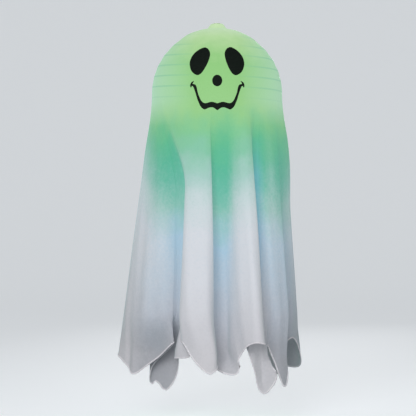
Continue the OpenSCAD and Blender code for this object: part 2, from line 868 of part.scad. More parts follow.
// Eight-legged chip on the back of the board
module controller_chip() {
    body = [4, 1.5, 5];
    leg = [6, 0.3, 0.4];
    leg_pitch = 1.27;
    drop = 3;
    color("black")
        translate([0, board_back_y, case_mid_z - drop]) {
            translate([-body.x / 2, leg.y, -body.z / 2])
                cube([body.x, body.y - leg.y, body.z]);
            for (i = [-1.5:1.5])
                translate([-leg.x / 2, 0, i * leg_pitch - leg.z / 2])
                    cube([leg.x, 2 * leg.y, leg.z]);
        }
}

// One small resistor above each lamp, its legs bent into the board
module led_resistors() {
    body_r = 0.9;
    body_len = 4;
    leg_r = 0.25;
    leg_span = 5;
    drop = 16;
    color("tan")
        for (i = [-1:1])
            translate([i * led_pitch, board_front_y - body_r - fit_gap, case_mid_z - drop]) {
                translate([0, 0, -body_len / 2])
                    cylinder(r = body_r, h = body_len);
                for (end = [-1, 1])
                    translate([0, 0, end * leg_span / 2]) {
                        rotate([-90, 0, 0])
                            cylinder(r = leg_r, h = body_r + fit_gap);
                        sphere(leg_r);
                        rotate([end > 0 ? 180 : 0, 0, 0])
                            cylinder(r = leg_r, h = (leg_span - body_len) / 2 + leg_r);
                    }
            }
}

// Three round lamps that point down through the case's end wall
module led_lamps()
    color("palegreen")
        at_lamps() {
            translate([0, 0, -led_reach])
                cylinder(r = led_r, h = led_reach + shell_wall + led_collar_h);
            translate([0, 0, -led_reach])
                sphere(led_r);
            translate([0, 0, shell_wall])
                cylinder(r = led_collar_r, h = led_collar_h);
            for (x = [-led_leg_x, led_leg_x])
                translate([x, 0, shell_wall + led_collar_h]) {
                    cylinder(r = led_leg_r, h = led_leg_h);
                    translate([0, 0, led_leg_h])
                        sphere(led_leg_r);
                    translate([0, 0, led_leg_h])
                        rotate([-90, 0, 0])
                            cylinder(r = led_leg_r, h = led_stand);
                }
        }

// Long round-ended dome of the given radius, flat side up
module long_dome(radius)
    intersection() {
        union() {
            for (x = [-led_pitch, led_pitch])
                translate([x, 0, 0])
                    sphere(radius);
            translate([-led_pitch, 0, 0])
                rotate([0, 90, 0])
                    cylinder(r = radius, h = 2 * led_pitch);
        }
        translate([-led_pitch - 2 * radius, -2 * radius, -2 * radius])
            cube([2 * led_pitch + 4 * radius, 4 * radius, 2 * radius]);
    }

// Frosted cover glued under the lamps
module led_diffuser()
    color("white")
        translate([0, led_y, case_end_z])
            difference() {
                long_dome(diffuser_r);
                long_dome(diffuser_r - diffuser_wall);
            }

// Switch on the front of the board, open in front for the slider's stem
module switch_body()
    color("silver")
        difference() {
            box(
                [-switch_w / 2, stem_y, slot_z - switch_len / 2],
                [switch_w / 2, board_front_y, slot_z + switch_len / 2]
            );
            box(
                [-stem_w / 2 - fit_gap, stem_y - cut, slot_z - slot_len / 2],
                [stem_w / 2 + fit_gap, stem_y + switch_pocket_h, slot_z + slot_len / 2]
            );
        }

// Slider at its upper, switched on end: stem through the case and a ribbed thumb pad
module switch_slider() {
    pad_y = front_y - fit_gap;
    color("dimgray")
        translate([0, 0, stem_on_z]) {
            box(
                [-stem_w / 2, pad_y - pad_t / 2, -stem_w / 2],
                [stem_w / 2, stem_y + switch_pocket_h - fit_gap, stem_w / 2]
            );
            box([-pad_w / 2, pad_y - pad_t, -pad_len / 2], [pad_w / 2, pad_y, pad_len / 2]);
            for (i = [0:pad_ribs - 1])
                translate([-pad_w / 2, pad_y - pad_t - pad_rib_h, (2 * i - pad_ribs + 0.5) * pad_rib_w])
                    cube([pad_w, pad_rib_h + pad_t / 2, pad_rib_w]);
        }
}

module shell_screws()
    color("silver")
        at_bosses() {
            bar_y(0, 0, case_head_d / 2, screw_seat_y - case_head_h, screw_seat_y);
            bar_y(0, 0, case_screw_d / 2, screw_seat_y, screw_seat_y + case_screw_len);
        }

module board_screws()
    color("silver")
        at_posts() {
            bar_y(0, 0, board_head_d / 2, board_back_y, board_back_y + board_head_h);
            bar_y(0, 0, board_screw_d / 2, board_back_y - board_screw_len, board_back_y);
        }

ghost_drape();
crown_eyelet();
eyelet_washer();
lantern_shade();
rib_wire();
top_ring();
bottom_ring();
expander_frame();
hanger_cap();
hang_pin();
front_shell();
rear_shell();
battery_door();
battery_1();
battery_2();
battery_3();
contact_plates();
contact_springs();
circuit_board();
controller_chip();
led_resistors();
led_lamps();
led_diffuser();
switch_body();
switch_slider();
shell_screws();
board_screws();
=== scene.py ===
import math

import bpy
import numpy as np
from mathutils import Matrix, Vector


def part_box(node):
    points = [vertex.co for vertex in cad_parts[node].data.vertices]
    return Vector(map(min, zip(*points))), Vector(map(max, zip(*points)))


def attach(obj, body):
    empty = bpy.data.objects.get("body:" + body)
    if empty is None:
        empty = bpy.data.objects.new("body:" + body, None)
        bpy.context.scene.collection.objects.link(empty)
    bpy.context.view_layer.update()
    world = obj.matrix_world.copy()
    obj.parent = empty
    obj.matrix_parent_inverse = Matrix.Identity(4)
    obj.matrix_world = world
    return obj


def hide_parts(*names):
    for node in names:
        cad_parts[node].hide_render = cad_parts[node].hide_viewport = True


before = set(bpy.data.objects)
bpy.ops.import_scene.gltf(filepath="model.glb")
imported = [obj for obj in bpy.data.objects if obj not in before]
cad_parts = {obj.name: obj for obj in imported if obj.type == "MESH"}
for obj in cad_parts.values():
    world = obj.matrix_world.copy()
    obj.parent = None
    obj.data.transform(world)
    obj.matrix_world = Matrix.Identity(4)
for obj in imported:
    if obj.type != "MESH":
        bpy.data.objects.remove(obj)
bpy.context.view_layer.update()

# Cap, case and battery door
# The cap that stands up into the crown carries the light unit: two shells screwed together and a door
# that slides down at the back. All are moulded in white ABS with the fine matt grain of a spark-eroded
# mould, which gives a soft, even white.
MM = 0.001
ALREADY_THERE = ("Principled BSDF", "Background")
ABS_IOR = 1.53
DRIFT_W = 14
MATT_SWING = 0.08


def linear(hex_colour):
    """Linear red, green, blue and alpha of an sRGB hex colour."""
    shares = [int(hex_colour[i : i + 2], 16) / 255 for i in (1, 3, 5)]
    return [s / 12.92 if s <= 0.04045 else ((s + 0.055) / 1.055) ** 2.4 for s in shares] + [1]


def add(material, kind, settings=None, links=None):
    """Adds a shader node of that kind, or takes the one that is there, with its settings and links.

    A link starts at a node's first output, or at the output that is named with the node."""
    nodes = material.node_tree.nodes
    node = nodes[kind] if kind in ALREADY_THERE else nodes.new("ShaderNode" + kind)
    for key, value in (settings or {}).items():
        if key == "stops":
            ramp = node.color_ramp
            for number, (place, colour) in enumerate(value):
                stop = ramp.elements[number] if number < 2 else ramp.elements.new(place)
                stop.position = place
                stop.color = linear(colour)
        elif key == "steps":
            node.color_ramp.interpolation = value
        elif isinstance(key, str) and hasattr(node, key):
            setattr(node, key, value)
        elif isinstance(value, str):
            node.inputs[key].default_value = linear(value)
        else:
            node.inputs[key].default_value = value
    for key, source in (links or {}).items():
        giver, output = source if isinstance(source, tuple) else (source, 0)
        material.node_tree.links.new(giver.outputs[output], node.inputs[key])
    return node


def new_material(name):
    """A material of that name with nodes, and the link that lays a pattern on the part in its own metres."""
    material = bpy.data.materials.new(name)
    material.use_nodes = True
    place = add(material, "TexCoord")
    return material, {"Vector": (place, "Object")}


def across(size):
    """Texture scale that gives marks of about that size, in millimetres."""
    return 1 / (size * MM)


def dress(material, *names):
    """Gives CAD nodes their finish."""
    for name in names:
        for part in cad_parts[name].material_slots:
            part.material = material


def surface(material, tones, wide, fine, relief, settings, gloss=None):
    """Tones by the wide pattern, relief by the fine one, and roughness by it too where limits are given."""
    tone = add(material, "ValToRGB", {"stops": tones}, {"Fac": wide})
    raised = add(material, "Bump", relief, {"Height": fine})
    links = {"Base Color": tone, "Normal": raised}
    if gloss:
        limits = {"To Min": gloss[0], "To Max": gloss[1]}
        links["Roughness"] = add(material, "MapRange", limits, {"Value": fine})
    add(material, "Principled BSDF", settings, links)


def moulded(name, dark, light, grain, roughness, ior):
    """Moulded plastic or thick lacquer: wide faint drifts of tone, and a grain of that size in mm."""
    material, laid = new_material(name)
    drift = add(material, "TexNoise", {"Scale": across(DRIFT_W), "Detail": 3}, laid)
    # mould grain is about 0.1 mm; it is drawn several times coarser so that it shows
    grit = add(material, "TexNoise", {"Scale": across(grain), "Detail": 2}, laid)
    tones = [(0.35, dark), (0.65, light)]
    relief = {"Strength": 0.2, "Distance": 0.1 * MM}
    gloss = (roughness - MATT_SWING, roughness + MATT_SWING)
    surface(material, tones, drift, grit, relief, {"IOR": ior}, gloss)
    return material


white_abs = moulded("white_abs_moulded", "#dfded8", "#efeeea", grain=0.6, roughness=0.46, ior=ABS_IOR)
dress(white_abs, "hanger_cap", "front_shell", "rear_shell", "battery_door")

# Switch
# A slide switch in a pressed tin-plated can on the board, softly bright and streaked from rolling. Its
# black ABS pad comes out through the front shell, ribbed for a fingertip and rubbed a little smoother
# than the case.
ALONG_DRAW = (1, 1, 0.15)
POLISHED = 0.07
DULLED = 0.1
black_abs = moulded("black_abs_moulded", "#191a1b", "#26282a", grain=0.5, roughness=0.38, ior=ABS_IOR)
dress(black_abs, "switch_slider")


def plated(name, dark, light, streak, roughness):
    """Plated metal: tone and gloss run in fine streaks of that width in mm, left by drawing."""
    material, laid = new_material(name)
    along = add(material, "Mapping", {"Scale": ALONG_DRAW}, laid)
    # the lines left by drawing are about 0.1 mm wide; they too are drawn coarser
    draw = add(material, "TexNoise", {"Scale": across(streak), "Detail": 3}, {"Vector": along})
    tones = [(0.3, dark), (0.7, light)]
    relief = {"Strength": 0.12, "Distance": 0.05 * MM}
    gloss = (roughness - POLISHED, roughness + DULLED)
    surface(material, tones, draw, draw, relief, {"Metallic": 1.0}, gloss)
    return material


tin_plate = plated("tin_plated_steel", "#a9abab", "#c6c7c5", streak=0.5, roughness=0.33)
dress(tin_plate, "switch_body")

# Screws and hang pin
# Zinc-plated steel with a faint blue passivation, cool and bright: four shell screws, two board screws,
# and the cross pin in the cap that a hook or cord goes round.
zinc_plate = plated("zinc_plated_steel", "#9ba2a8", "#bfc5c9", streak=0.4, roughness=0.3)
dress(zinc_plate, "shell_screws", "board_screws", "hang_pin")

# Circuit board
# A sheet of glass-epoxy laminate, cut to size and held in the case by its two screws. Its green solder
# mask is glossy, and the copper tracks show as paler lines beneath it.
laminate, laid = new_material("glass_epoxy_laminate")
upright = add(laminate, "Mapping", {"Rotation": (math.radians(90), 0, 0)}, laid)
tracks = add(
    laminate,
    "TexBrick",
    {
        "Scale": 1.0,
        "Brick Width": 6.4 * MM,
        "Row Height": 2.6 * MM,
        "Mortar Size": 0.35 * MM,
        "Mortar Smooth": 0.2,
        "Color1": "#0e5230",
        "Color2": "#115a35",
        "Mortar": "#2b8150",
    },
    {"Vector": upright},
)
weave = add(laminate, "TexNoise", {"Scale": across(0.8)}, laid)
mask = add(laminate, "Bump", {"Strength": 0.15, "Distance": 0.05 * MM}, {"Height": weave})
add(laminate, "Principled BSDF", {"Roughness": 0.32, "IOR": 1.55}, {"Base Color": tracks, "Normal": mask})
dress(laminate, "circuit_board")

# Controller chip
# A small controller, moulded in black epoxy that is matt from the mould, and soldered to the board by
# the bright tinned legs along its two long sides.
LEGS_FROM = 0.66
# sockets of a node that mixes two colours: the share of the second, the two colours, and what comes out
SHARE, FIRST, SECOND = 0, 6, 7
MIXED = 2
chip_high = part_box("controller_chip")[1]
chip_resin, laid = new_material("epoxy_moulding_compound")
split = add(chip_resin, "SeparateXYZ", {}, laid)
off_middle = add(chip_resin, "Math", {"operation": "ABSOLUTE"}, {0: (split, "X")})
legs = add(chip_resin, "Math", {"operation": "GREATER_THAN", 1: LEGS_FROM * chip_high[0]}, {0: off_middle})
# the resin's grit is about 0.05 mm; it is drawn at 0.3 mm so that it shows
grit = add(chip_resin, "TexNoise", {"Scale": across(0.3)}, laid)
body = add(chip_resin, "ValToRGB", {"stops": [(0.3, "#17181a"), (0.7, "#232527")]}, {"Fac": grit})
tone = add(chip_resin, "Mix", {"data_type": "RGBA", SECOND: "#c2c3c1"}, {SHARE: legs, FIRST: body})
add(chip_resin, "Principled BSDF", {"Roughness": 0.45}, {"Base Color": (tone, MIXED), "Metallic": legs})
dress(chip_resin, "controller_chip")

# Resistors
# Three film resistors soldered to the board. Each is a small ceramic rod dipped in buff lacquer, half
# glossy, with four value rings painted round it.
PLAIN = "#000000"
METAL = "#ffffff"
RUB_W = 2.5
RUBBED = 0.08
SCUFFED = 0.12
BUFF = "#c8ab78"
RING_W = 0.08
VALUE_RINGS = [(0.2, "#6b3b1f"), (0.38, "#1c1a19"), (0.56, "#a3291f"), (0.78, "#b58d3c")]


def ringed(name, low_z, high_z, colours, metals, roughness):
    """A part whose colour and metal change in rings, at shares of the way from one height to another."""
    material, laid = new_material(name)
    split = add(material, "SeparateXYZ", {}, laid)
    height = add(material, "MapRange", {"From Min": low_z, "From Max": high_z}, {"Value": (split, "Z")})
    rings, metal = [
        add(material, "ValToRGB", {"stops": stops, "steps": "CONSTANT"}, {"Fac": height})
        for stops in (colours, metals)
    ]
    rub = add(material, "TexNoise", {"Scale": across(RUB_W), "Detail": 4}, laid)
    limits = {"To Min": roughness - RUBBED, "To Max": roughness + SCUFFED}
    gloss = add(material, "MapRange", limits, {"Value": rub})
    add(material, "Principled BSDF", {}, {"Base Color": rings, "Metallic": metal, "Roughness": gloss})
    return material


bands = [(0.0, BUFF)]
for start, paint in VALUE_RINGS:
    bands += [(start, paint), (start + RING_W, BUFF)]
body_low, body_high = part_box("led_resistors")
resistor_lacquer = ringed(
    "resistor_lacquer", body_low[2], body_high[2], bands, [(0.0, PLAIN), (1.0, PLAIN)], roughness=0.4
)
dress(resistor_lacquer, "led_resistors")

# Lamps
# Three 3 mm lamps soldered to the board: clear green-tinted epoxy domes, cast and glossy, on tinned legs.
# They are on in the photograph, so the resin glows.
LEG_LENGTH = 5.0 * MM
lamp_low, lamp_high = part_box("led_lamps")
legs_from = 1 - LEG_LENGTH / (lamp_high[2] - lamp_low[2])
lamp_resin = ringed(
    "tinted_epoxy_lamp",
    lamp_low[2],
    lamp_high[2],
    [(0.0, "#9be58a"), (legs_from, "#bdbfbd")],
    [(0.0, PLAIN), (legs_from, METAL)],
    roughness=0.18,
)
add(lamp_resin, "Principled BSDF", {"Emission Color": "#a6f28c", "Emission Strength": 0.35, "IOR": 1.55})
dress(lamp_resin, "led_lamps")

# Diffuser
# A cover moulded in frosted polycarbonate and snapped over the lamps. It scatters their light, so it is
# brightest in the middle and greener towards its edge.
cover_low, cover_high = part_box("led_diffuser")
cover_middle = [(a + b) / 2 for a, b in zip(cover_low, cover_high)]
frosted, laid = new_material("frosted_polycarbonate")
centred = add(frosted, "Mapping", {"Location": [-c for c in cover_middle]}, laid)
reach = add(frosted, "VectorMath", {"operation": "LENGTH"}, {0: centred})
fade = add(frosted, "MapRange", {"From Min": 0.0, "From Max": cover_high[0]}, {"Value": (reach, "Value")})
glow_tones = {"stops": [(0.0, "#e6ffd2"), (0.45, "#a6e68c"), (1.0, "#5fae6a")]}
glow = add(frosted, "ValToRGB", glow_tones, {"Fac": fade})
# the frosting's grain is about 0.1 mm; it is drawn at 0.5 mm so that it shows
frost = add(frosted, "TexNoise", {"Scale": across(0.5)}, laid)
frost_relief = add(frosted, "Bump", {"Strength": 0.3, "Distance": 0.1 * MM}, {"Height": frost})
add(
    frosted,
    "Principled BSDF",
    {"Roughness": 0.6, "IOR": 1.58, "Emission Strength": 0.5},
    {"Base Color": glow, "Emission Color": glow, "Normal": frost_relief},
)
dress(frosted, "led_diffuser")

# Cells
# Three AAA cells, the middle one the other way up. Each is a steel can in a plain slate-grey shrink
# sleeve, half glossy, with a pale line and a light grey band towards the button. Its two ends are bare.
CELLS = [("battery_1", True), ("battery_2", False), ("battery_3", True)]
CAN = "#b4b6b7"
SLEEVE_FROM = 0.012
LINE_FROM = 0.8
BAND_FROM = 0.83
SLEEVE_TO = 0.965
for cell, button_up in CELLS:
    cell_low, cell_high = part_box(cell)
    flat_z, button_z = (cell_low[2], cell_high[2]) if button_up else (cell_high[2], cell_low[2])
    bands = [(SLEEVE_FROM, "#39414a"), (LINE_FROM, "#dfe0de"), (BAND_FROM, "#a3a9ad")]
    sleeve = ringed(
        f"shrink_sleeve_{cell}",
        flat_z,
        button_z,
        [(0.0, CAN), *bands, (SLEEVE_TO, CAN)],
        [(0.0, METAL), (SLEEVE_FROM, PLAIN), (SLEEVE_TO, METAL)],
        roughness=0.3,
    )
    dress(sleeve, cell)

# Contacts
# Strips pressed from nickel-plated steel, warm and bright, and three coil springs of the same wire on the
# cells' flat ends. The springs are wound round wire here, in place of the CAD model's faceted coils.
SPRING_D = 6.4 * MM
SPRING_WIRE_D = 0.7 * MM
SPRING_TURNS = 4
SPRING_STEPS = 24
nickel_plate = plated("nickel_plated_steel", "#b3afa6", "#d3d0c8", streak=0.4, roughness=0.26)
dress(nickel_plate, "contact_plates")


def pick(*pieces):
    """Selects these pieces and nothing else, with the first one active."""
    bpy.ops.object.select_all(action="DESELECT")
    for piece in pieces:
        piece.select_set(True)
    bpy.context.view_layer.objects.active = pieces[0]


def finish_piece(piece, material, sharp):
    """Smooths a new piece up to edges of that many degrees, and gives it its finish and body."""
    pick(piece)
    bpy.ops.object.shade_smooth_by_angle(angle=math.radians(sharp))
    piece.data.materials.clear()
    piece.data.materials.append(material)
    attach(piece, "lantern")


def new_object(name, data):
    """A new object in the scene, with its data."""
    piece = bpy.data.objects.new(name, data)
    bpy.context.collection.objects.link(piece)
    return piece


def wound_wire(name, paths, diameter):
    """Round wire along each path, as one mesh with closed ends."""
    curve = bpy.data.curves.new(name, "CURVE")
    curve.dimensions = "3D"
    curve.bevel_depth = diameter / 2
    curve.bevel_resolution = 3
    curve.use_fill_caps = True
    for path in paths:
        line = curve.splines.new("POLY")
        line.points.add(len(path) - 1)
        for point, at in zip(line.points, path):
            point.co = (*at, 1)
    piece = new_object(name, curve)
    pick(piece)
    bpy.ops.object.convert(target="MESH")
    return piece


def around(angle, reach, z):
    """Point at an angle from the face towards +X, a reach from the axis, at a height."""
    return np.array([reach * math.sin(angle), -reach * math.cos(angle), z])


spring_low, spring_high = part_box("contact_springs")
straight = np.array([0, 0, SPRING_WIRE_D])
coils = []
for cell, button_up in CELLS:
    cell_low, cell_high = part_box(cell)
    foot, head = (spring_low[2], cell_low[2]) if button_up else (cell_high[2], spring_high[2])
    axis = np.array([(cell_low[0] + cell_high[0]) / 2, (cell_low[1] + cell_high[1]) / 2, 0])
    turned = [
        axis
        + around(2 * math.pi * SPRING_TURNS * share, SPRING_D / 2, 0)
        + (0, 0, foot + SPRING_WIRE_D + (head - foot - 2 * SPRING_WIRE_D) * share)
        for share in np.linspace(0, 1, SPRING_STEPS * SPRING_TURNS + 1)
    ]
    coils.append([turned[0] - straight, *turned, turned[-1] + straight])
springs = wound_wire("cell_springs", coils, SPRING_WIRE_D)
finish_piece(springs, nickel_plate, sharp=50)
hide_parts("contact_springs")

# Wire frame
# The expander is drawn steel wire under bright zinc, sprung between the two mouth rings. The rings and
# the spiral rib are steel wire dipped in glossy white lacquer, thicker in some places than in others.
RIB_TURNS = 11
RIB_STEPS = 64
RIB_START = math.radians(313)
RIB_WIRE_D = 1.2 * MM
drawn_zinc = plated("zinc_coated_drawn_wire", "#8d9296", "#b6babc", streak=0.6, roughness=0.34)
dress(drawn_zinc, "expander_frame")
white_lacquer = moulded("white_lacquered_wire", "#cfd3cf", "#e3e6e2", grain=1.2, roughness=0.34, ior=1.5)
dress(white_lacquer, "top_ring", "bottom_ring")

globe_low, globe_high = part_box("lantern_shade")
globe_r = (globe_high[0] - globe_low[0]) / 2
globe_z = (globe_low[2] + globe_high[2]) / 2
rib_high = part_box("rib_wire")[1]
ring_low, ring_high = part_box("top_ring")
ring_wire_d = ring_high[2] - ring_low[2]
ring_r = (ring_high[0] - ring_low[0] - ring_wire_d) / 2
rib_path_r = rib_high[0] - RIB_WIRE_D / 2
rib_end_h = rib_high[2] - globe_z - RIB_WIRE_D
rib_end_r = math.hypot(ring_r, rib_end_h)
rib_pitch = 2 * rib_end_h / RIB_TURNS


def rib_point(share):
    """Middle of the rib at that share of its length, from the upper ring to the lower one."""
    h = rib_end_h * (1 - 2 * share)
    ease = max(0, 1 - 2 * RIB_TURNS * min(share, 1 - share)) ** 2
    ball = rib_path_r + (rib_end_r - rib_path_r) * ease
    return around(RIB_START + 2 * math.pi * RIB_TURNS * share, math.sqrt(ball**2 - h**2), globe_z + h)


rib_line = [rib_point(share) for share in np.linspace(0, 1, RIB_STEPS * RIB_TURNS + 1)]
rib_end = np.array([0, 0, RIB_WIRE_D])
rib = wound_wire("spiral_rib", [[rib_line[0] + rib_end, *rib_line, rib_line[-1] - rib_end]], RIB_WIRE_D)
finish_piece(rib, white_lacquer, sharp=50)
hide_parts("rib_wire")

# Lantern shade
# Twelve tapered strips of thin nylon, glued edge over edge and stretched over the rib. The cloth runs
# straight from one turn of the rib to the next, so the globe is faintly stepped, and it is doubled along
# each seam. The lamps make it a pale glowing green.
STRIPS = 12
SHADE_WALL = 0.5 * MM
SAG = 0.5 * MM
SEAM_HALF_W = 2.5 * MM
SEAM_SLOPE_W = 1.0 * MM
SEAM_RISE = 0.12 * MM
SHADE_ROWS = 132
SHADE_COLUMNS = 288


def grid_mesh(name, rows, closed_round=True):
    """Mesh through rows of points, each row once round, from the top row down."""
    rows = np.asarray(rows)
    count, round_it = rows.shape[:2]
    number = np.arange(count * round_it).reshape(count, round_it)
    after = np.roll(number, -1, axis=1)
    last = round_it if closed_round else round_it - 1
    corners = np.stack([number[:-1], number[1:], after[1:], after[:-1]], axis=-1)[:, :last]
    mesh = bpy.data.meshes.new(name)
    mesh.from_pydata(rows.reshape(-1, 3).tolist(), [], corners.reshape(-1, 4).tolist())
    return new_object(name, mesh)


def apply(piece, kind, **settings):
    """Adds a modifier with its settings and applies it."""
    pick(piece)
    modifier = piece.modifiers.new(kind.lower(), kind)
    for key, value in settings.items():
        setattr(modifier, key, value)
    bpy.ops.object.modifier_apply(modifier=modifier.name)


turn = np.arange(SHADE_COLUMNS) / SHADE_COLUMNS * 2 * math.pi
strip_turn = 2 * math.pi / STRIPS
steep = math.asin((globe_high[2] - globe_z) / globe_r)
skin_rows = []
for lift in np.linspace(steep, -steep, SHADE_ROWS):
    h = globe_r * math.sin(lift)
    turns_off_rib = (h - rib_end_h) / rib_pitch + (turn - RIB_START) / (2 * math.pi)
    dip = SAG * np.sin(math.pi * turns_off_rib) ** 2
    off_seam = np.abs((turn + strip_turn / 2) % strip_turn - strip_turn / 2) * globe_r * math.cos(lift)
    doubled = SEAM_RISE * np.clip((SEAM_HALF_W - off_seam) / SEAM_SLOPE_W, 0, 1)
    ball = globe_r - SEAM_RISE - dip + doubled
    reach = ball * math.cos(lift)
    skin_rows.append(
        np.stack([reach * np.sin(turn), -reach * np.cos(turn), globe_z + ball * math.sin(lift)], axis=1)
    )
shade = grid_mesh("nylon_shade", skin_rows)
apply(shade, "SOLIDIFY", thickness=SHADE_WALL, offset=-1)

nylon, laid = new_material("lit_nylon_taffeta")
split = add(nylon, "SeparateXYZ", {}, laid)
mouths = {"From Min": globe_low[2], "From Max": globe_high[2]}
height = add(nylon, "MapRange", mouths, {"Value": (split, "Z")})
# the lamps' light is painted into the nylon's colour and glow, brightest a little below the middle
lit_tones = {"stops": [(0.0, "#b9e3a2"), (0.45, "#c9eeaa"), (1.0, "#cfe6bd")]}
lit_shade = add(nylon, "ValToRGB", lit_tones, {"Fac": height})
# nylon thread is about 0.1 mm; it is drawn at 1.2 mm so that it shows
threads = add(nylon, "TexNoise", {"Scale": across(1.2)}, laid)
woven = add(nylon, "Bump", {"Strength": 0.2, "Distance": 0.1 * MM}, {"Height": threads})
add(
    nylon,
    "Principled BSDF",
    {"Roughness": 0.7, "IOR": 1.53, "Emission Strength": 0.35},
    {"Base Color": lit_shade, "Emission Color": lit_shade, "Normal": woven},
)
finish_piece(shade, nylon, sharp=40)
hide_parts("lantern_shade")

# Ghost cloth
# One piece of thin white polyester crepe, cut in gores at the head and full at the hem. It is fixed only
# by the eyelet at the crown, lies smooth over the shade, and falls from the head's widest line in deep
# uneven folds.
CLOTH_LIFT = 2.9 * MM
CLOTH_WALL = 0.6 * MM
CLOTH_ROUND = 360
HEAD_ROWS = 40
SKIRT_ROWS = 86
cloth_low, cloth_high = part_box("ghost_drape")
lowest = cloth_low[2]
head_r = globe_r + CLOTH_LIFT
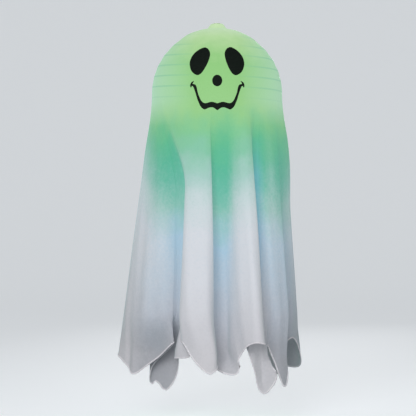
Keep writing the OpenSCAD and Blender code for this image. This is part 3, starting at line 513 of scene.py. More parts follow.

# Where the cloth runs, going round from the left. Each row gives its angle under the head from the face
# towards +X in degrees, how much further down the lamp's green reaches as a share of the height, how far
# it takes the hollows' painted lamp colour and painted shade high up, half way down and low down, its place
# in plan where the folds are full, and its place at the hem with its rise above the lowest tip, in mm
FOLDS = [
    # wide left panel, which sinks softly towards the front and curls back at its hem
    (-90, -0.05, (0.05, 0, 0), (-149, -6), (-161, -10, 64)),
    (-76, -0.05, (0.1, 0, 0.05), (-143, -46), (-148, -38, 50)),
    (-64, -0.01, (0.35, 0, 0.6), (-128, -76), (-134, -54, 35)),
    (-54, 0.015, (0.75, 0.3, 1), (-107, -95), (-112, -64, 49)),
    (-46, 0.015, (0.95, 0.5, 1), (-86, -101), (-88, -66, 67)),
    (-41, 0, (1, 0.9, 0.7), (-71, -100), (-67, -84, 88)),
    # hollow, with the long flap that hangs behind the panel
    (-39, 0, (1, 1, 1), (-68, -99), (-80, -60, 72)),
    (-37.5, 0, (1, 1, 1), (-66, -98.3), (-104, -44, 44)),
    (-36, 0, (1, 1, 1), (-64.5, -97.8), (-106, -38, 16)),
    (-35, 0, (1, 1, 1), (-63, -97.4), (-98, -36, 22)),
    (-34, 0, (1, 1, 1), (-61.5, -97.2), (-84, -35, 6)),
    (-32.5, 0, (1, 1, 0.9), (-59.5, -97.1), (-68, -37, 24)),
    (-31.5, 0, (1, 1, 0.4), (-57.5, -97.2), (-63, -48, 56)),
    (-30.5, 0, (1, 1, 0), (-55, -97.6), (-68, -80, 62)),
    (-29.5, 0, (0.9, 0.9, 0), (-49, -99), (-44, -100, 66)),
    # narrow left middle fold, lapped at both sides
    (-27.5, 0, (0.5, 0.4, 0), (-51, -110), (-48, -100, 76)),
    (-26, 0, (0, 0, 0), (-57, -124), (-52, -120, 92)),
    (-23, 0, (0, 0, 0), (-49, -138), (-40, -138, 66)),
    (-16, 0, (0, 0, 0), (-32, -145), (-13, -147, 43)),
    (-10, 0, (0, 0, 0), (-14, -142), (-3, -142, 48)),
    (-7, 0, (0.1, 0.1, 0.1), (-5, -127), (2, -128, 54)),
    # hollow in the middle, with a small lobe
    (-5, 0.03, (0.8, 0.7, 0.5), (-11, -110), (-4, -110, 50)),
    (0, 0.03, (1, 1, 0.6), (-1, -89), (8, -113, 42)),
    (9, 0.03, (1, 0.9, 0.45), (14, -90), (25, -120, 39)),
    # right middle fold with its arched hem
    (12.5, 0.02, (0.65, 0.5, 0.3), (20.5, -100), (33, -120, 44)),
    (15.5, 0.01, (0.25, 0.1, 0.2), (27, -111), (35, -121, 66)),
    (20, 0, (0, 0, 0), (41, -130), (46, -134, 84)),
    (24, 0, (0, 0, 0), (57, -138), (60, -142, 91)),
    (27.5, 0, (0, 0, 0), (69, -128), (75, -136, 88)),
    (30, 0, (0.7, 0.7, 0.6), (65, -108), (66, -114, 95)),
    # hollow, with the lowest tip
    (31.5, 0, (1, 1, 0.3), (61, -102), (46, -107, 81)),
    (32.3, 0, (1, 1, 0.2), (60, -99), (50, -105, 67)),
    (33, 0, (1, 1, 0.2), (60, -96), (59, -102, 40)),
    (34.5, 0, (1, 0.85, 0.2), (64, -93), (64.5, -98, 15)),
    (36, 0, (1, 0.7, 0.2), (68, -90), (74.5, -95, 7)),
    (36.8, 0, (1, 0.7, 0.25), (70, -89.5), (84.5, -94, 15)),
    (37.5, 0, (1, 0.65, 0.3), (72, -89), (94.5, -93, 35)),
    (39.3, 0, (0.95, 0.6, 0.5), (75, -87), (80, -88, 57)),
    # right fold with its short tip
    (41.5, 0.01, (0.9, 0.6, 0.8), (82, -84), (77, -84, 84)),
    (45, 0.02, (0.6, 0.6, 1), (90, -83), (89, -80, 60)),
    (48, 0.02, (0.45, 0.6, 1), (97, -81), (96.5, -78, 38)),
    (51, 0.02, (0.6, 0.6, 1), (104, -78), (104.5, -74, 17)),
    (54, 0.02, (0.8, 0.6, 1), (109, -72), (110, -69, 19)),
    (58, 0.02, (0.9, 0.7, 1), (114, -64), (113, -64, 36)),
    (65, 0.02, (0.9, 0.8, 1), (110, -46), (106, -44, 72)),
    # right side
    (77, 0.02, (0.6, 0.5, 0.9), (120, -26), (114, -24, 90)),
    (85, 0.01, (0.4, 0.3, 0.8), (126, -10), (127, -8, 86)),
    (92, 0, (0.3, 0.2, 0.8), (130, 4), (134, 6, 70)),
    (98, 0, (0.3, 0.2, 0.9), (130, 17), (138.5, 20, 49)),
    (103, 0, (0.4, 0.2, 1), (126, 30), (131, 40, 38)),
    (112, 0, (0.8, 0.7, 1), (108, 44), (112, 54, 41)),
    (121, 0, (0.6, 0.5, 0.4), (104, 64), (108, 72, 52)),
    # back
    (131, 0, (0.1, 0, 0), (108, 88), (114, 96, 32)),
    (140, 0, (0.2, 0.1, 0.1), (90, 102), (94, 110, 18)),
    (148, 0, (0.9, 0.8, 0.7), (66, 92), (68, 96, 36)),
    (156, 0, (0.5, 0.4, 0.3), (46, 108), (48, 114, 68)),
    (164, 0, (0.1, 0, 0), (36, 132), (40, 142, 66)),
    (174, 0, (0.2, 0.1, 0.1), (12, 136), (12, 146, 64)),
    (182, 0, (1, 0.9, 0.8), (0, 112), (0, 114, 70)),
    (190, 0, (0.9, 0.8, 0.7), (-22, 108), (-24, 110, 68)),
    (198, 0, (0.1, 0, 0), (-40, 132), (-42, 140, 60)),
    (207, 0, (0.1, 0, 0), (-66, 130), (-70, 140, 56)),
    (215, 0, (0.9, 0.8, 0.7), (-74, 106), (-78, 108, 64)),
    (222, 0, (0.8, 0.7, 0.6), (-92, 96), (-98, 98, 62)),
    # left side
    (230, 0, (0.2, 0.1, 0.1), (-118, 98), (-128, 104, 50)),
    (238, 0, (0.3, 0.1, 0.2), (-130, 76), (-140, 80, 48)),
    (247, -0.02, (0.9, 0.8, 0.7), (-122, 52), (-128, 54, 56)),
    (256, -0.04, (0.4, 0.3, 0.4), (-133, 32), (-144, 32, 60)),
]


def between(a, b, start, end, at):
    """Value at a place on the straight line from a at start to b at end."""
    return a + (b - a) * (at - start) / (end - start)


def smooth_loop(points, steps):
    """A smooth closed line through the points, with no overshoot between close ones."""
    line = []
    for i in range(len(points)):
        p = [points[(i + k - 1) % len(points)] for k in range(4)]
        gaps = [np.linalg.norm(p[k + 1] - p[k]) ** 0.5 for k in range(3)]
        t = [0, *np.cumsum(gaps)]
        for at in np.linspace(t[1], t[2], steps, endpoint=False):
            a = [between(p[k], p[k + 1], t[k], t[k + 1], at) for k in range(3)]
            b = [between(a[k], a[k + 1], t[k], t[k + 2], at) for k in range(2)]
            line.append(between(b[0], b[1], t[1], t[2], at))
    return np.array(line)


def soft(share):
    """A share that starts and ends gently."""
    share = np.clip(share, 0, 1)
    return share * share * (3 - 2 * share)


# The folds' line, evenly spaced, parted into the cone that the cloth hangs in and the folds on it
EVEN = 1024
CONE_WAVES = 2
LOOP_STEPS = 24
loop = smooth_loop(np.array([[*plan, *hem] for _, _, _, plan, hem in FOLDS], float) * MM, LOOP_STEPS)
loop = np.vstack([loop, loop[:1]])
stride = loop[1:, 0] - loop[:-1, 0] + 1j * (loop[1:, 1] - loop[:-1, 1])
run = np.concatenate([[0], np.cumsum(np.abs(stride))])
even = np.arange(EVEN + 1) / EVEN
line = np.interp(even * run[-1], run, loop[:, 0]) + 1j * np.interp(even * run[-1], run, loop[:, 1])
waves = np.fft.fft(line[:-1])
waves[np.abs(np.fft.fftfreq(EVEN, 1 / EVEN)) > CONE_WAVES] = 0
cone_line = np.fft.ifft(waves)
cone_line = np.append(cone_line, cone_line[0])

# Columns of the cloth, closer together where the hem runs far and where a fold turns sharply
SHARP_TURN = 10 * MM
bend = np.abs(np.angle(stride / np.roll(stride, 1)))
hem_stride = np.linalg.norm(np.diff(loop[:, 2:], axis=0), axis=1)
worth = np.concatenate([[0], np.cumsum(np.abs(stride) + hem_stride + SHARP_TURN * bend)])
column_run = np.interp(np.arange(CLOTH_ROUND) / CLOTH_ROUND * worth[-1], worth, run)
column = column_run / run[-1]
plan_x, plan_y, hem_x, hem_y, hem_rise = [np.interp(column_run, run, track) for track in loop.T]
plan = plan_x + 1j * plan_y
hem = hem_x + 1j * hem_y
hem_z = lowest + hem_rise
cone = np.interp(column, even, cone_line)
fold = plan - cone
fold_runs = [*run[:-1:LOOP_STEPS], run[-1]]


def down_columns(values, once_round=0):
    """A value of each fold, carried over to the columns between them."""
    return np.interp(column_run, fold_runs, [*values, values[0] + once_round])


under_head = down_columns([row[0] for row in FOLDS], 360)
further = down_columns([row[1] for row in FOLDS])
hollow_shade_levels = [down_columns([row[2][k] for row in FOLDS]) for k in range(3)]

# The left middle fold fans out at its top, so the cloth near its left edge starts further left on the head
FAN = [(-90, 0), (-26, -30), (-7, 0)]
FAN_END = 0.4


def by_angle(table):
    """A value for each column, from a table of angles under the head and their values."""
    return np.interp(under_head, *zip(*table))


fan = by_angle(FAN)


def facing(share):
    """Ways outwards from the axis, at that share of the drop from the head's widest line to the hem."""
    turn = np.radians(under_head + fan * (1 - soft(share / FAN_END)))
    return np.exp(1j * (turn - math.pi / 2))


head_turn = np.radians(under_head + fan)
head_way = facing(0)

# Head: flat top round the eyelet, flank of the knob, then the round of the globe with the rib under it.
# Near the knob the cloth bridges the hollow, and the rib shows least at the top and at the widest line
EYELET_HOLE_R = 3.4 * MM
# outline of the knob in mm: reach from the axis, and drop below the eyelet
KNOB = [
    (7, 0), (9, -0.3), (10.4, -1.1), (11.6, -2.6), (13, -4.6), (14.6, -6.9), (16, -8.2), (17.6, -8.8),
]
ROUND_FROM = math.radians(13)
WIDEST = math.radians(90)
BRIDGE = 1.5 * MM
BRIDGE_END = math.radians(42)
BRIDGE_FADE = math.radians(18)
RIB_RISE = 0.3 * MM
RIB_FADE_TOP = 0.2
RIB_FADE_LOW = 0.4


def cloth_row(at, z):
    """Row of points from their places in plan, at their own heights or at one for all."""
    return np.stack([at.real, at.imag, np.broadcast_to(z, at.shape)], axis=1)


knob = [(reach * MM, cloth_high[2] + drop * MM) for reach, drop in KNOB]
cloth_rows = [cloth_row(head_way * reach, z) for reach, z in [(EYELET_HOLE_R, cloth_high[2]), *knob]]
for polar in np.linspace(ROUND_FROM, WIDEST, HEAD_ROWS, endpoint=False):
    h = head_r * math.cos(polar)
    phase = (h - rib_end_h) / rib_pitch + (head_turn - RIB_START) / (2 * math.pi)
    shown = soft((polar - ROUND_FROM) / RIB_FADE_TOP) * soft((WIDEST - polar) / RIB_FADE_LOW)
    bridged = BRIDGE * soft((BRIDGE_END - polar) / BRIDGE_FADE)
    ball = head_r + bridged + RIB_RISE * shown * np.cos(2 * math.pi * phase)
    cloth_rows.append(cloth_row(head_way * ball * math.sin(polar), globe_z + ball * math.cos(polar)))

# Skirt: the round of the head opens into the cone, the folds grow on it, and the hem swings out from them.
# Shares are of the drop from the head's widest line to the hem, or of the part where the folds grow
FOLDS_FORMED = 0.8
CONE_EASE = 0.12
FOLD_GROWTH = 0.85
FOLD_START = 0.02
FOLD_FADE = 0.26
# heights between which the hem swings out, the angles where it swings late, and from how far up then, in mm
SWING_FROM = -465 * MM
SWING_TO = -540 * MM
LATE = [(-7, 0), (-4, 1), (12.5, 1), (16, 0), (33, 0), (35.5, 1), (38, 1), (41, 0)]
LATE_SWING = [(16, 40), (33, 22)]
# under the right of the head the cloth stands a little proud: how far, at which angle, and down to where
PUFF = 4.2 * MM
PUFF_AT = 92
PUFF_HALF = 30
PUFF_FADE = 0.2
PUFF_END = 0.46
# faint ripples: height in mm, how many go round, and how far they drift round on the way down, in radians
RIPPLES = [(1.1, 21, 5), (0.8, 37, -7)]


def skirt_line(share):
    """The cloth's line in plan at that share of the drop, before the hem swings out."""
    opened = share / FOLDS_FORMED
    ease = (1 + CONE_EASE) * opened**2 / (opened + CONE_EASE)
    if opened < 1:
        relief = opened**FOLD_GROWTH * soft((opened - FOLD_START) / FOLD_FADE)
    else:
        relief = 1 + FOLD_GROWTH * (opened - 1)
    head = facing(share) * head_r
    fanned = fan / min(fan) * (1 - soft(share / FAN_END))
    return head + (cone - head) * ease + fold * relief * (1 - fanned)


swing = hem - skirt_line(1.0)
late = by_angle(LATE)
swing_from = between(SWING_FROM, hem_z + by_angle(LATE_SWING) * MM, 0, 1, late)
swing_to = between(SWING_TO, hem_z, 0, 1, late)
puff = PUFF * np.exp(-(((under_head - PUFF_AT) / PUFF_HALF) ** 2))
for share in np.linspace(0, 1, SKIRT_ROWS):
    at = skirt_line(share)
    z = globe_z + (hem_z - globe_z) * share
    at = at + swing * soft((z - swing_from) / (swing_to - swing_from))
    tangent = np.roll(at, -1) - np.roll(at, 1)
    outward = -1j * tangent / np.abs(tangent)
    ripple = 0
    for tall, many, drift in RIPPLES:
        ripple = ripple + tall * np.sin(2 * math.pi * many * column + drift * share)
    at = at + outward * ripple * share * MM
    at = at + facing(share) * puff * soft(share / PUFF_FADE) * soft((PUFF_END - share) / PUFF_FADE)
    cloth_rows.append(cloth_row(at, z))
cloth = grid_mesh("ghost_cloth", cloth_rows)

# Painted light and shade that run down the folds, kept as attributes of the cloth: the hollows' painted lamp
# colour and painted shade at three shares of the height, the lamps' painted blue beside the lapped edge
# right of the middle, and how far the lamp's green has reached
HEAD_END = 0.2
TINT_DROPS = (0.42, 0.6, 0.86)
BLUE = [(28, 0), (30, 0.5), (36, 0.45), (42, 0)]
THIN_SWING = 0.6
fallen = (cloth_high[2] - np.array(cloth_rows)[:, :, 2]) / (cloth_high[2] - lowest)
high, half_way, low = TINT_DROPS
hollow = hollow_shade_levels[0] + (hollow_shade_levels[1] - hollow_shade_levels[0]) * np.clip((fallen - high) / (half_way - high), 0, 1)
hollow = hollow + (hollow_shade_levels[2] - hollow_shade_levels[1]) * np.clip((fallen - half_way) / (low - half_way), 0, 1)
below_head = np.clip((fallen - HEAD_END) / (high - HEAD_END), 0, 1)
painted_light_down = {
    "hollow": hollow - THIN_SWING / 2,
    "blue": by_angle(BLUE) * below_head,
    "reached": fallen - further * below_head,
}
for name, values in painted_light_down.items():
    tint = cloth.data.attributes.new(name, "FLOAT", "POINT")
    tint.data.foreach_set("value", values.ravel())
apply(cloth, "SOLIDIFY", thickness=CLOTH_WALL, offset=-1)

# The lamps shine through the crepe, so their green and blue are painted in with part of it given out as
# light: green at the head, teal where the folds start, pale blue below, white at the hem, and deeper in
# the hollows, which low down also take painted shade. The crepe itself is dull and pebbled, with a faint
# sheen where it turns away
HEAD_LIGHT = [(0.03, "#d2ebbf"), (0.085, "#b6dd9f"), (0.15, "#91cc7f")]
CREST_LIGHT = [
    (0.27, "#98cf88"), (0.33, "#83c996"), (0.38, "#86c7a8"), (0.445, "#a8cec6"), (0.51, "#c9d8da"),
    (0.6, "#d7dbe1"), (0.73, "#d8dae0"), (0.86, "#d2d1d6"), (0.95, "#cdcbcf"),
]
HOLLOW_LIGHT_AND_SHADE = [
    (0.26, "#98cf88"), (0.3, "#80c890"), (0.355, "#60bd92"), (0.4, "#59b899"), (0.46, "#66b9a3"),
    (0.52, "#86c0b3"), (0.565, "#9ac4c8"), (0.61, "#a8c6d8"), (0.7, "#b1c4d3"), (0.8, "#b6bdc8"),
    (0.91, "#aaabb1"),
]
BLUE_ZONE = [(0.35, "#000000"), (0.45, "#ffffff"), (0.6, "#ffffff"), (0.8, "#000000")]
GIVEN_OUT = [(0.0, "#d6d6d6"), (0.2, "#d6d6d6"), (0.45, "#bababa"), (0.65, "#7c7c7c"), (0.9, "#2a2a2a")]
MOTTLE_W = 26
MOTTLE_SWING = 0.07
crepe, laid = new_material("lit_polyester_crepe")
split = add(crepe, "SeparateXYZ", {}, laid)
reached, painted_hollow, beside_edge = [
    add(crepe, "Attribute", {"attribute_name": name}) for name in ("reached", "hollow", "blue")
]
mottle = add(crepe, "TexNoise", {"Scale": across(MOTTLE_W), "Detail": 4}, laid)
uneven = add(crepe, "Math", {"operation": "MULTIPLY_ADD", 1: MOTTLE_SWING}, {0: mottle, 2: (reached, "Fac")})
crest_light, hollow_light_and_shade, blue_zone = [
    add(crepe, "ValToRGB", {"stops": stops}, {"Fac": uneven})
    for stops in (HEAD_LIGHT + CREST_LIGHT, HEAD_LIGHT + HOLLOW_LIGHT_AND_SHADE, BLUE_ZONE)
]
# crepe lets more colour through where it is thin; its thin specks are drawn at 4 mm so that they show
thin = add(crepe, "TexNoise", {"Scale": across(4), "Detail": 5}, laid)
hollow_shade_share = add(
    crepe, "Math", {"operation": "MULTIPLY_ADD", 1: THIN_SWING}, {0: thin, 2: (painted_hollow, "Fac")}
)
# crests take the painted lamp colour, hollows the painted lamp colour and painted shade
painted_folds = add(crepe, "Mix", {"data_type": "RGBA"}, {SHARE: hollow_shade_share, FIRST: crest_light, SECOND: hollow_light_and_shade})
blue_share = add(crepe, "Math", {"operation": "MULTIPLY"}, {0: (beside_edge, "Fac"), 1: blue_zone})

# The rib's shadow on the sides and the back of the head, dark where its height and its turn agree, and
# the paler mint of the head's sides, where the lamps are seen through more cloth. Heights are from the
# head's widest line, and distances from the middle line of the face
RIB_LINE_HALF = 0.03
RIB_LINE_END = 0.1
RIB_LINE_DARK = 0.4
RIB_HEIGHTS = (-22 * MM, 8 * MM)
RIB_SIDES = (30 * MM, 75 * MM)
MINT_HEIGHTS = (-55 * MM, -15 * MM)
MINT_SIDES = (35 * MM, 105 * MM)
MINT_MOST = 0.8
minus_y = add(crepe, "Math", {"operation": "MULTIPLY", 1: -1.0}, {0: (split, "Y")})
bearing = add(crepe, "Math", {"operation": "ARCTAN2"}, {0: (split, "X"), 1: minus_y})
turns = add(
    crepe,
    "Math",
    {
        "operation": "MULTIPLY_ADD",
        1: 1 / (2 * math.pi),
        2: 0.5 - RIB_START / (2 * math.pi) - (globe_z + rib_end_h) / rib_pitch,
    },
    {0: bearing},
)
rib_phase = add(crepe, "Math", {"operation": "MULTIPLY_ADD", 1: 1 / rib_pitch}, {0: (split, "Z"), 2: turns})
part_turn = add(crepe, "Math", {"operation": "FRACT"}, {0: rib_phase})
off_rib = add(crepe, "Math", {"operation": "SUBTRACT", 1: 0.5}, {0: part_turn})
off_rib_size = add(crepe, "Math", {"operation": "ABSOLUTE"}, {0: off_rib})
behind = add(crepe, "Math", {"operation": "MAXIMUM", 1: 0.0}, {0: (split, "Y")})
off_front = add(crepe, "CombineXYZ", {}, {"X": (split, "X"), "Y": behind})
from_face = add(crepe, "VectorMath", {"operation": "LENGTH"}, {0: off_front})
zones = []
for source, zero, (start, end), first, last in [
    (off_rib_size, 0, (RIB_LINE_HALF, RIB_LINE_END), RIB_LINE_DARK, 0),
    ((split, "Z"), globe_z, RIB_HEIGHTS, 0, 1),
    ((from_face, "Value"), 0, RIB_SIDES, 0, 1),
    ((from_face, "Value"), 0, MINT_SIDES, 0, MINT_MOST),
    ((split, "Z"), globe_z, MINT_HEIGHTS, 0, 1),
]:
    span = {"From Min": zero + start, "From Max": zero + end, "To Min": first, "To Max": last}
    zones.append(add(crepe, "MapRange", span, {"Value": source}))
rib_line_zone, rib_height_zone, rib_side_zone, mint_side_zone, mint_height_zone = zones
rib_on_head, mint_share = [
    add(crepe, "Math", {"operation": "MULTIPLY"}, {0: one, 1: other})
    for one, other in [(rib_line_zone, rib_height_zone), (mint_side_zone, mint_height_zone)]
]
rib_share = add(crepe, "Math", {"operation": "MULTIPLY"}, {0: rib_on_head, 1: rib_side_zone})
lit = painted_folds
for share, tint in [(blue_share, "#7fbde0"), (mint_share, "#bbe6c8"), (rib_share, "#73bd9c")]:
    lit = add(crepe, "Mix", {"data_type": "RGBA", SECOND: tint}, {SHARE: share, FIRST: (lit, MIXED)})

# How much of the painted colour is given out as light, less of it further down, and the rest as the cloth's
# base colour, painted light and shade still in it
drop = add(crepe, "MapRange", {"From Min": cloth_high[2], "From Max": lowest}, {"Value": (split, "Z")})
given = add(crepe, "ValToRGB", {"stops": GIVEN_OUT}, {"Fac": drop})
kept = add(crepe, "Math", {"operation": "SUBTRACT", 0: 1.0}, {1: given})
light, painted_base_colour = [
    add(crepe, "Mix", {"data_type": "RGBA", SECOND: "#000000"}, {SHARE: off, FIRST: (lit, MIXED)})
    for off in (kept, given)
]
# crepe thread is about 0.3 mm; its pebbled grain is drawn at 3.2 mm so that it shows
pebbles = add(crepe, "TexNoise", {"Scale": across(3.2), "Detail": 4}, laid)
pebbled = add(crepe, "Bump", {"Strength": 0.6, "Distance": 0.6 * MM}, {"Height": pebbles})
add(
    crepe,
    "Principled BSDF",
    {"Roughness": 0.85, "IOR": 1.5, "Sheen Weight": 0.3, "Sheen Tint": "#bfe9e4", "Emission Strength": 1.0},
    {"Base Color": (painted_base_colour, MIXED), "Emission Color": (light, MIXED), "Normal": pebbled},
)
finish_piece(cloth, crepe, sharp=60)
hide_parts("ghost_drape")

# Hem
# The cloth's edge is turned twice and stitched, which leaves a narrow rounded border, thicker and paler
# than the single cloth above it, and puckered along the stitches.
HEM_TALL = 1.3 * MM
HEM_THICK = 0.8 * MM
HEM_SIDES = 8
HEM_UP = 0.8
MERGE = 0.01 * MM
FLECK_H = 0.2 * MM


def unit(ways):
    """The same ways, each of length one."""
    return ways / np.linalg.norm(ways, axis=1, keepdims=True)


def flecked(name, tones, fleck, detail, strength, settings):
    """A dull cover with flecks of tone of that size in mm, which stand up a little."""
    material, laid = new_material(name)
    flecks = add(material, "TexNoise", {"Scale": across(fleck), "Detail": detail}, laid)
    surface(material, tones, flecks, flecks, {"Strength": strength, "Distance": FLECK_H}, settings)
    return material


edge = cloth_rows[-1]
fall = unit(cloth_rows[-1] - cloth_rows[-2])
along = unit(np.roll(edge, -1, axis=0) - np.roll(edge, 1, axis=0))
out = unit(np.cross(fall, along))
down = np.cross(along, out)
core = edge - down * HEM_TALL * HEM_UP
hem_rows = [
    core + out * HEM_THICK * math.cos(a) - down * HEM_TALL * math.sin(a)
    for a in np.linspace(0, 2 * math.pi, HEM_SIDES + 1)
]
border = grid_mesh("cloth_hem", hem_rows)
apply(border, "WELD", merge_threshold=MERGE)
# stitches are about 2 mm long; their puckers are drawn at 3 mm so that they show
hem_crepe = flecked(
    "turned_crepe_hem",
    [(0.3, "#d6d2d6"), (0.7, "#e8e5e9")],
    fleck=3,
    detail=3,
    strength=0.4,
    settings={"Roughness": 0.85, "IOR": 1.5},
)
finish_piece(border, hem_crepe, sharp=80)

# Printed face
# Black screen ink pressed on the front of the cloth: two slanted egg-shaped eyes, a round nose and a wide
# smile with a scalloped lip. It is dull, lies on the cloth and follows it. Outlines are in mm, across and
# up, in a plane in front of the face, and are laid back on the cloth from there.
INK_THICK = 0.25 * MM
INK_GAP = 0.1 * MM
PRINT_Y = -250 * MM
# edge of the left eye from its top round by its outer side, from its middle; the right one leans less
EYE_EDGE = [
    (8, 22), (-2.6, 17.4), (-11.2, 8.8), (-15.2, -0.6), (-15.4, -7.6), (-12.8, -16.4), (-7.8, -21.6),
    (-3, -23.4), (2, -21), (9, -11.4), (14, -0.8), (16.7, 9.4), (16, 15), (12.8, 20),
]
EYE_TURNS = {-1: 0.0, 1: math.radians(5)}
EYE_AT = {-1: np.array([-28.0, -68.2]), 1: np.array([27.4, -68.2])}
EYE_STEPS = 6
NOSE_AT = (-0.2, -100.5)
NOSE_HALF = (7.9, 9.1)
PRINT_RINGS = 6
PRINT_ROUND = 64
LIP_COLUMNS = 160
TICK_COLUMNS = 16
CURVE_STEPS = 8
# edges of the right half of the smile, inner and outer, from the middle of the lip to the corner
LIP_INNER = [
    (0, -136.2), (4, -135.0), (8, -134.0), (12.5, -134.6), (17, -135.8), (20.5, -135.8), (23.6, -134.0),
    (26.2, -130.6), (28.1, -126.4), (30.1, -121.4), (31.7, -115.2), (32.8, -110.0), (34.4, -106.9),
    (37, -105.8), (39.8, -105.0),
]
LIP_OUTER = [
    (0, -147.2), (3.4, -144.9), (6.8, -143.0), (12, -143.0), (16.5, -144.8), (20.2, -146.0), (23.8, -144.0),
    (26.8, -140.4), (29.4, -134.7), (31.4, -129.7), (33.7, -121.8), (35.8, -115.4), (37.1, -111.8),
    (38.6, -109.2), (40.6, -108.2),
]
# edges of the small stroke across the smile's right corner, from its top
TICK_INNER = [(36.8, -101.6), (38.4, -103.8), (39.8, -107.0), (40.9, -111.2)]
TICK_OUTER = [(37.4, -100.8), (40.6, -102.6), (42.6, -106.4), (42.4, -111.2)]


def open_curve(points, count):
    """Even points along a smooth open line through the given ones, to just before the last."""
    points = np.array(points, float)
    ends = np.vstack([2 * points[0] - points[1], points, 2 * points[-1] - points[-2]])
    ring = smooth_loop(ends, CURVE_STEPS)[CURVE_STEPS : CURVE_STEPS * len(points)]
    length = np.concatenate([[0], np.cumsum(np.linalg.norm(np.diff(ring, axis=0), axis=1))])
    places = np.linspace(0, length[-1], count)
    return np.stack([np.interp(places, length, ring[:, k]) for k in (0, 1)], axis=1)


def stand_up(rows):
    """Rows of points given across and up, in the plane in front of the face."""
    return [np.stack([r[:, 0] * MM, np.full(len(r), PRINT_Y), r[:, 1] * MM], axis=1) for r in rows]


def blot(outline, middle):
    """Ink patch: rings from its outline in to its middle."""
    return stand_up([middle + (outline - middle) * (1 - k / PRINT_RINGS) for k in range(PRINT_RINGS + 1)])


def ribbon(inner, outer, count):
    """Ink stroke: rows from its inner edge to its outer edge."""
    first = open_curve(inner, count)
    last = open_curve(outer, count)
    return stand_up([first + (last - first) * k / PRINT_RINGS for k in range(PRINT_RINGS + 1)])


def eye_outline(side):
    """Outline of the left eye, or of the right one, which is its mirror image turned."""
    turn = EYE_TURNS[side]
    x, z = (smooth_loop(np.array(EYE_EDGE, float), EYE_STEPS) * (-side, 1)).T
    turned_x = x * math.cos(turn) + z * math.sin(turn)
    turned_z = z * math.cos(turn) - x * math.sin(turn)
    return EYE_AT[side] + np.stack([turned_x, turned_z], axis=1)


def on_side(points, side):
    """Points of the right half of the face, or their mirror image on the left."""
    return [(x * side, z) for x, z in points]


round_nose = np.arange(PRINT_ROUND) / PRINT_ROUND * 2 * math.pi
nose = np.array(NOSE_AT) + np.stack([np.cos(round_nose), np.sin(round_nose)], axis=1) * NOSE_HALF
blots = [blot(eye_outline(side), EYE_AT[side]) for side in (-1, 1)]
blots.append(blot(nose, np.array(NOSE_AT)))
left_inner, left_outer = [on_side(edge[:0:-1], -1) for edge in (LIP_INNER, LIP_OUTER)]
strokes = [ribbon(left_inner + LIP_INNER, left_outer + LIP_OUTER, LIP_COLUMNS)]
for side in (-1, 1):
    strokes.append(ribbon(on_side(TICK_INNER, side), on_side(TICK_OUTER, side), TICK_COLUMNS))
prints = [grid_mesh("blot", rows) for rows in blots]
prints += [grid_mesh("stroke", rows, closed_round=False) for rows in strokes]
pick(*prints)
bpy.ops.object.join()
face = prints[0]
face.name = "face_print"
apply(
    face,
    "SHRINKWRAP",
    target=cloth,
    wrap_method="PROJECT",
    use_project_y=True,
    use_positive_direction=True,
    use_negative_direction=False,
    offset=INK_GAP,
)
bpy.ops.object.mode_set(mode="EDIT")
bpy.ops.mesh.select_all(action="SELECT")
bpy.ops.mesh.remove_doubles(threshold=MERGE)
bpy.ops.mesh.normals_make_consistent(inside=False)
bpy.ops.object.mode_set(mode="OBJECT")
for polygon in face.data.polygons:
    if polygon.normal.y > 0:
        polygon.flip()
apply(face, "SOLIDIFY", thickness=INK_THICK, offset=1)
# the cloth's grain shows through the ink; it is drawn at 3 mm, about as on the cloth
ink = flecked(
    "black_screen_ink",
    [(0.3, "#08100b"), (0.75, "#0f1812")],
    fleck=3,
    detail=4,
    strength=0.25,
    settings={"Roughness": 0.8, "Specular IOR Level": 0.15},
)
finish_piece(face, ink, sharp=50)

# Crown eyelet and washer
# A pressed brass eyelet, set through the crown of the cloth and rolled over a washer under it, which the
# hook or cord goes through. Its satin nickel plating is warm and only half bright.
nickel_brass = plated("nickel_plated_brass", "#b4b2a6", "#cfcdc2", streak=0.5, roughness=0.52)
dress(nickel_brass, "crown_eyelet", "eyelet_washer")

# Studio
# A floor of pale paper that sweeps up into a backdrop, under an even grey sky that is paler where the
# camera sees it. A large soft light stands in front and above, a weaker one at the right, and a weak
# narrow one behind. The camera is level with the middle of the ghost, 3 m in front of it.
CAMERA_AT = (-0.0147, -3.0, -0.301)
VIEW_WIDTH = 0.678
SENSOR = 36.0
FLOOR_DROP = 40 * MM
SWEEP_R = 2.0
SWEEP_ANGLES = np.radians(np.linspace(6, 84, 14))
ROOM_HALF = 7.0
BACK_WALL_Y = 5.2
PAPER_SEEN = 0.55
SKY_LIGHT = 0.4
SKY_SEEN_MORE = 0.45
floor_z = lowest - FLOOR_DROP
sweep_y = BACK_WALL_Y - SWEEP_R
sweep = [(sweep_y + SWEEP_R * math.sin(a), floor_z + SWEEP_R * (1 - math.cos(a))) for a in SWEEP_ANGLES]
ground = [(-ROOM_HALF, floor_z), (sweep_y, floor_z)]
wall = [(BACK_WALL_Y, floor_z + SWEEP_R), (BACK_WALL_Y, floor_z + ROOM_HALF)]
floor_rows = [[(ROOM_HALF * side, y, z) for side in (-1, 1)] for y, z in ground + sweep + wall]
floor = grid_mesh("paper_sweep", floor_rows, closed_round=False)
pick(floor)
bpy.ops.object.shade_smooth()
paper, laid = new_material("pale_backdrop_paper")
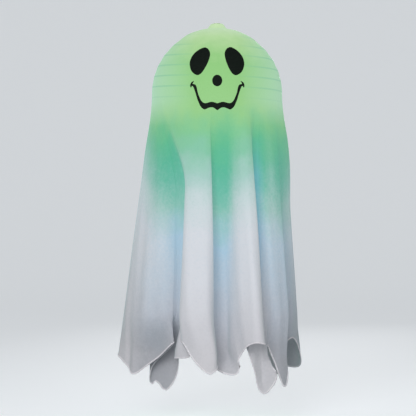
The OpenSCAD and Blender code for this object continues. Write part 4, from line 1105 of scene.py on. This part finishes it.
# paper fibre is about 1 mm long; it is drawn at 4 mm so that it shows
fibre = add(paper, "TexNoise", {"Scale": across(4)}, laid)
paper_tone = add(paper, "ValToRGB", {"stops": [(0.3, "#c6cacd"), (0.7, "#cacdd0")]}, {"Fac": fibre})
rays = add(paper, "LightPath")
seen = (rays, "Is Camera Ray")
for ray in ("Is Glossy Ray", "Is Transmission Ray"):
    seen = add(paper, "Math", {"operation": "MAXIMUM"}, {0: seen, 1: (rays, ray)})
pale = add(paper, "Math", {"operation": "MULTIPLY", 1: PAPER_SEEN}, {0: seen})
add(
    paper,
    "Principled BSDF",
    {"Roughness": 0.9, "Emission Color": "#e6e9ec"},
    {"Base Color": paper_tone, "Emission Strength": pale},
)
floor.data.materials.append(paper)

world = bpy.data.worlds.new("studio_sky")
bpy.context.scene.world = world
world.use_nodes = True
world_rays = add(world, "LightPath")
sky_levels = {"operation": "MULTIPLY_ADD", 1: SKY_SEEN_MORE, 2: SKY_LIGHT}
sky_level = add(world, "Math", sky_levels, {0: (world_rays, "Is Camera Ray")})
add(world, "Background", {"Color": "#d9dde0"}, {"Strength": sky_level})


def soft_light(name, at, towards, size, power, spread=180):
    """A square soft light at one point, turned towards another. Power is in watts, and spread in degrees."""
    lamp = new_object(name, bpy.data.lights.new(name, "AREA"))
    lamp.data.size = size
    lamp.data.energy = power
    lamp.data.spread = math.radians(spread)
    lamp.location = at
    way = np.array(towards) - np.array(at)
    lamp.rotation_euler = (
        math.acos(-way[2] / np.linalg.norm(way)),
        0,
        math.atan2(way[1], way[0]) - math.pi / 2,
    )


soft_light("key_light", at=(-0.6, -2.85, 0.55), towards=(0, 0, -0.35), size=1.4, power=23.8, spread=120)
soft_light("fill_light", at=(1.8, -1.6, 0.2), towards=(0, 0, -0.35), size=1.2, power=5.5)
soft_light("back_light", at=(0.2, 3.0, 0.1), towards=(0, 0, -0.3), size=1.0, power=2.6, spread=36)
camera = new_object("camera", bpy.data.cameras.new("camera"))
camera.location = CAMERA_AT
camera.rotation_euler = (math.radians(90), 0, 0)
camera.data.sensor_width = SENSOR
camera.data.lens = SENSOR * -CAMERA_AT[1] / VIEW_WIDTH
bpy.context.scene.camera = camera
bpy.context.scene.view_settings.view_transform = "Standard"
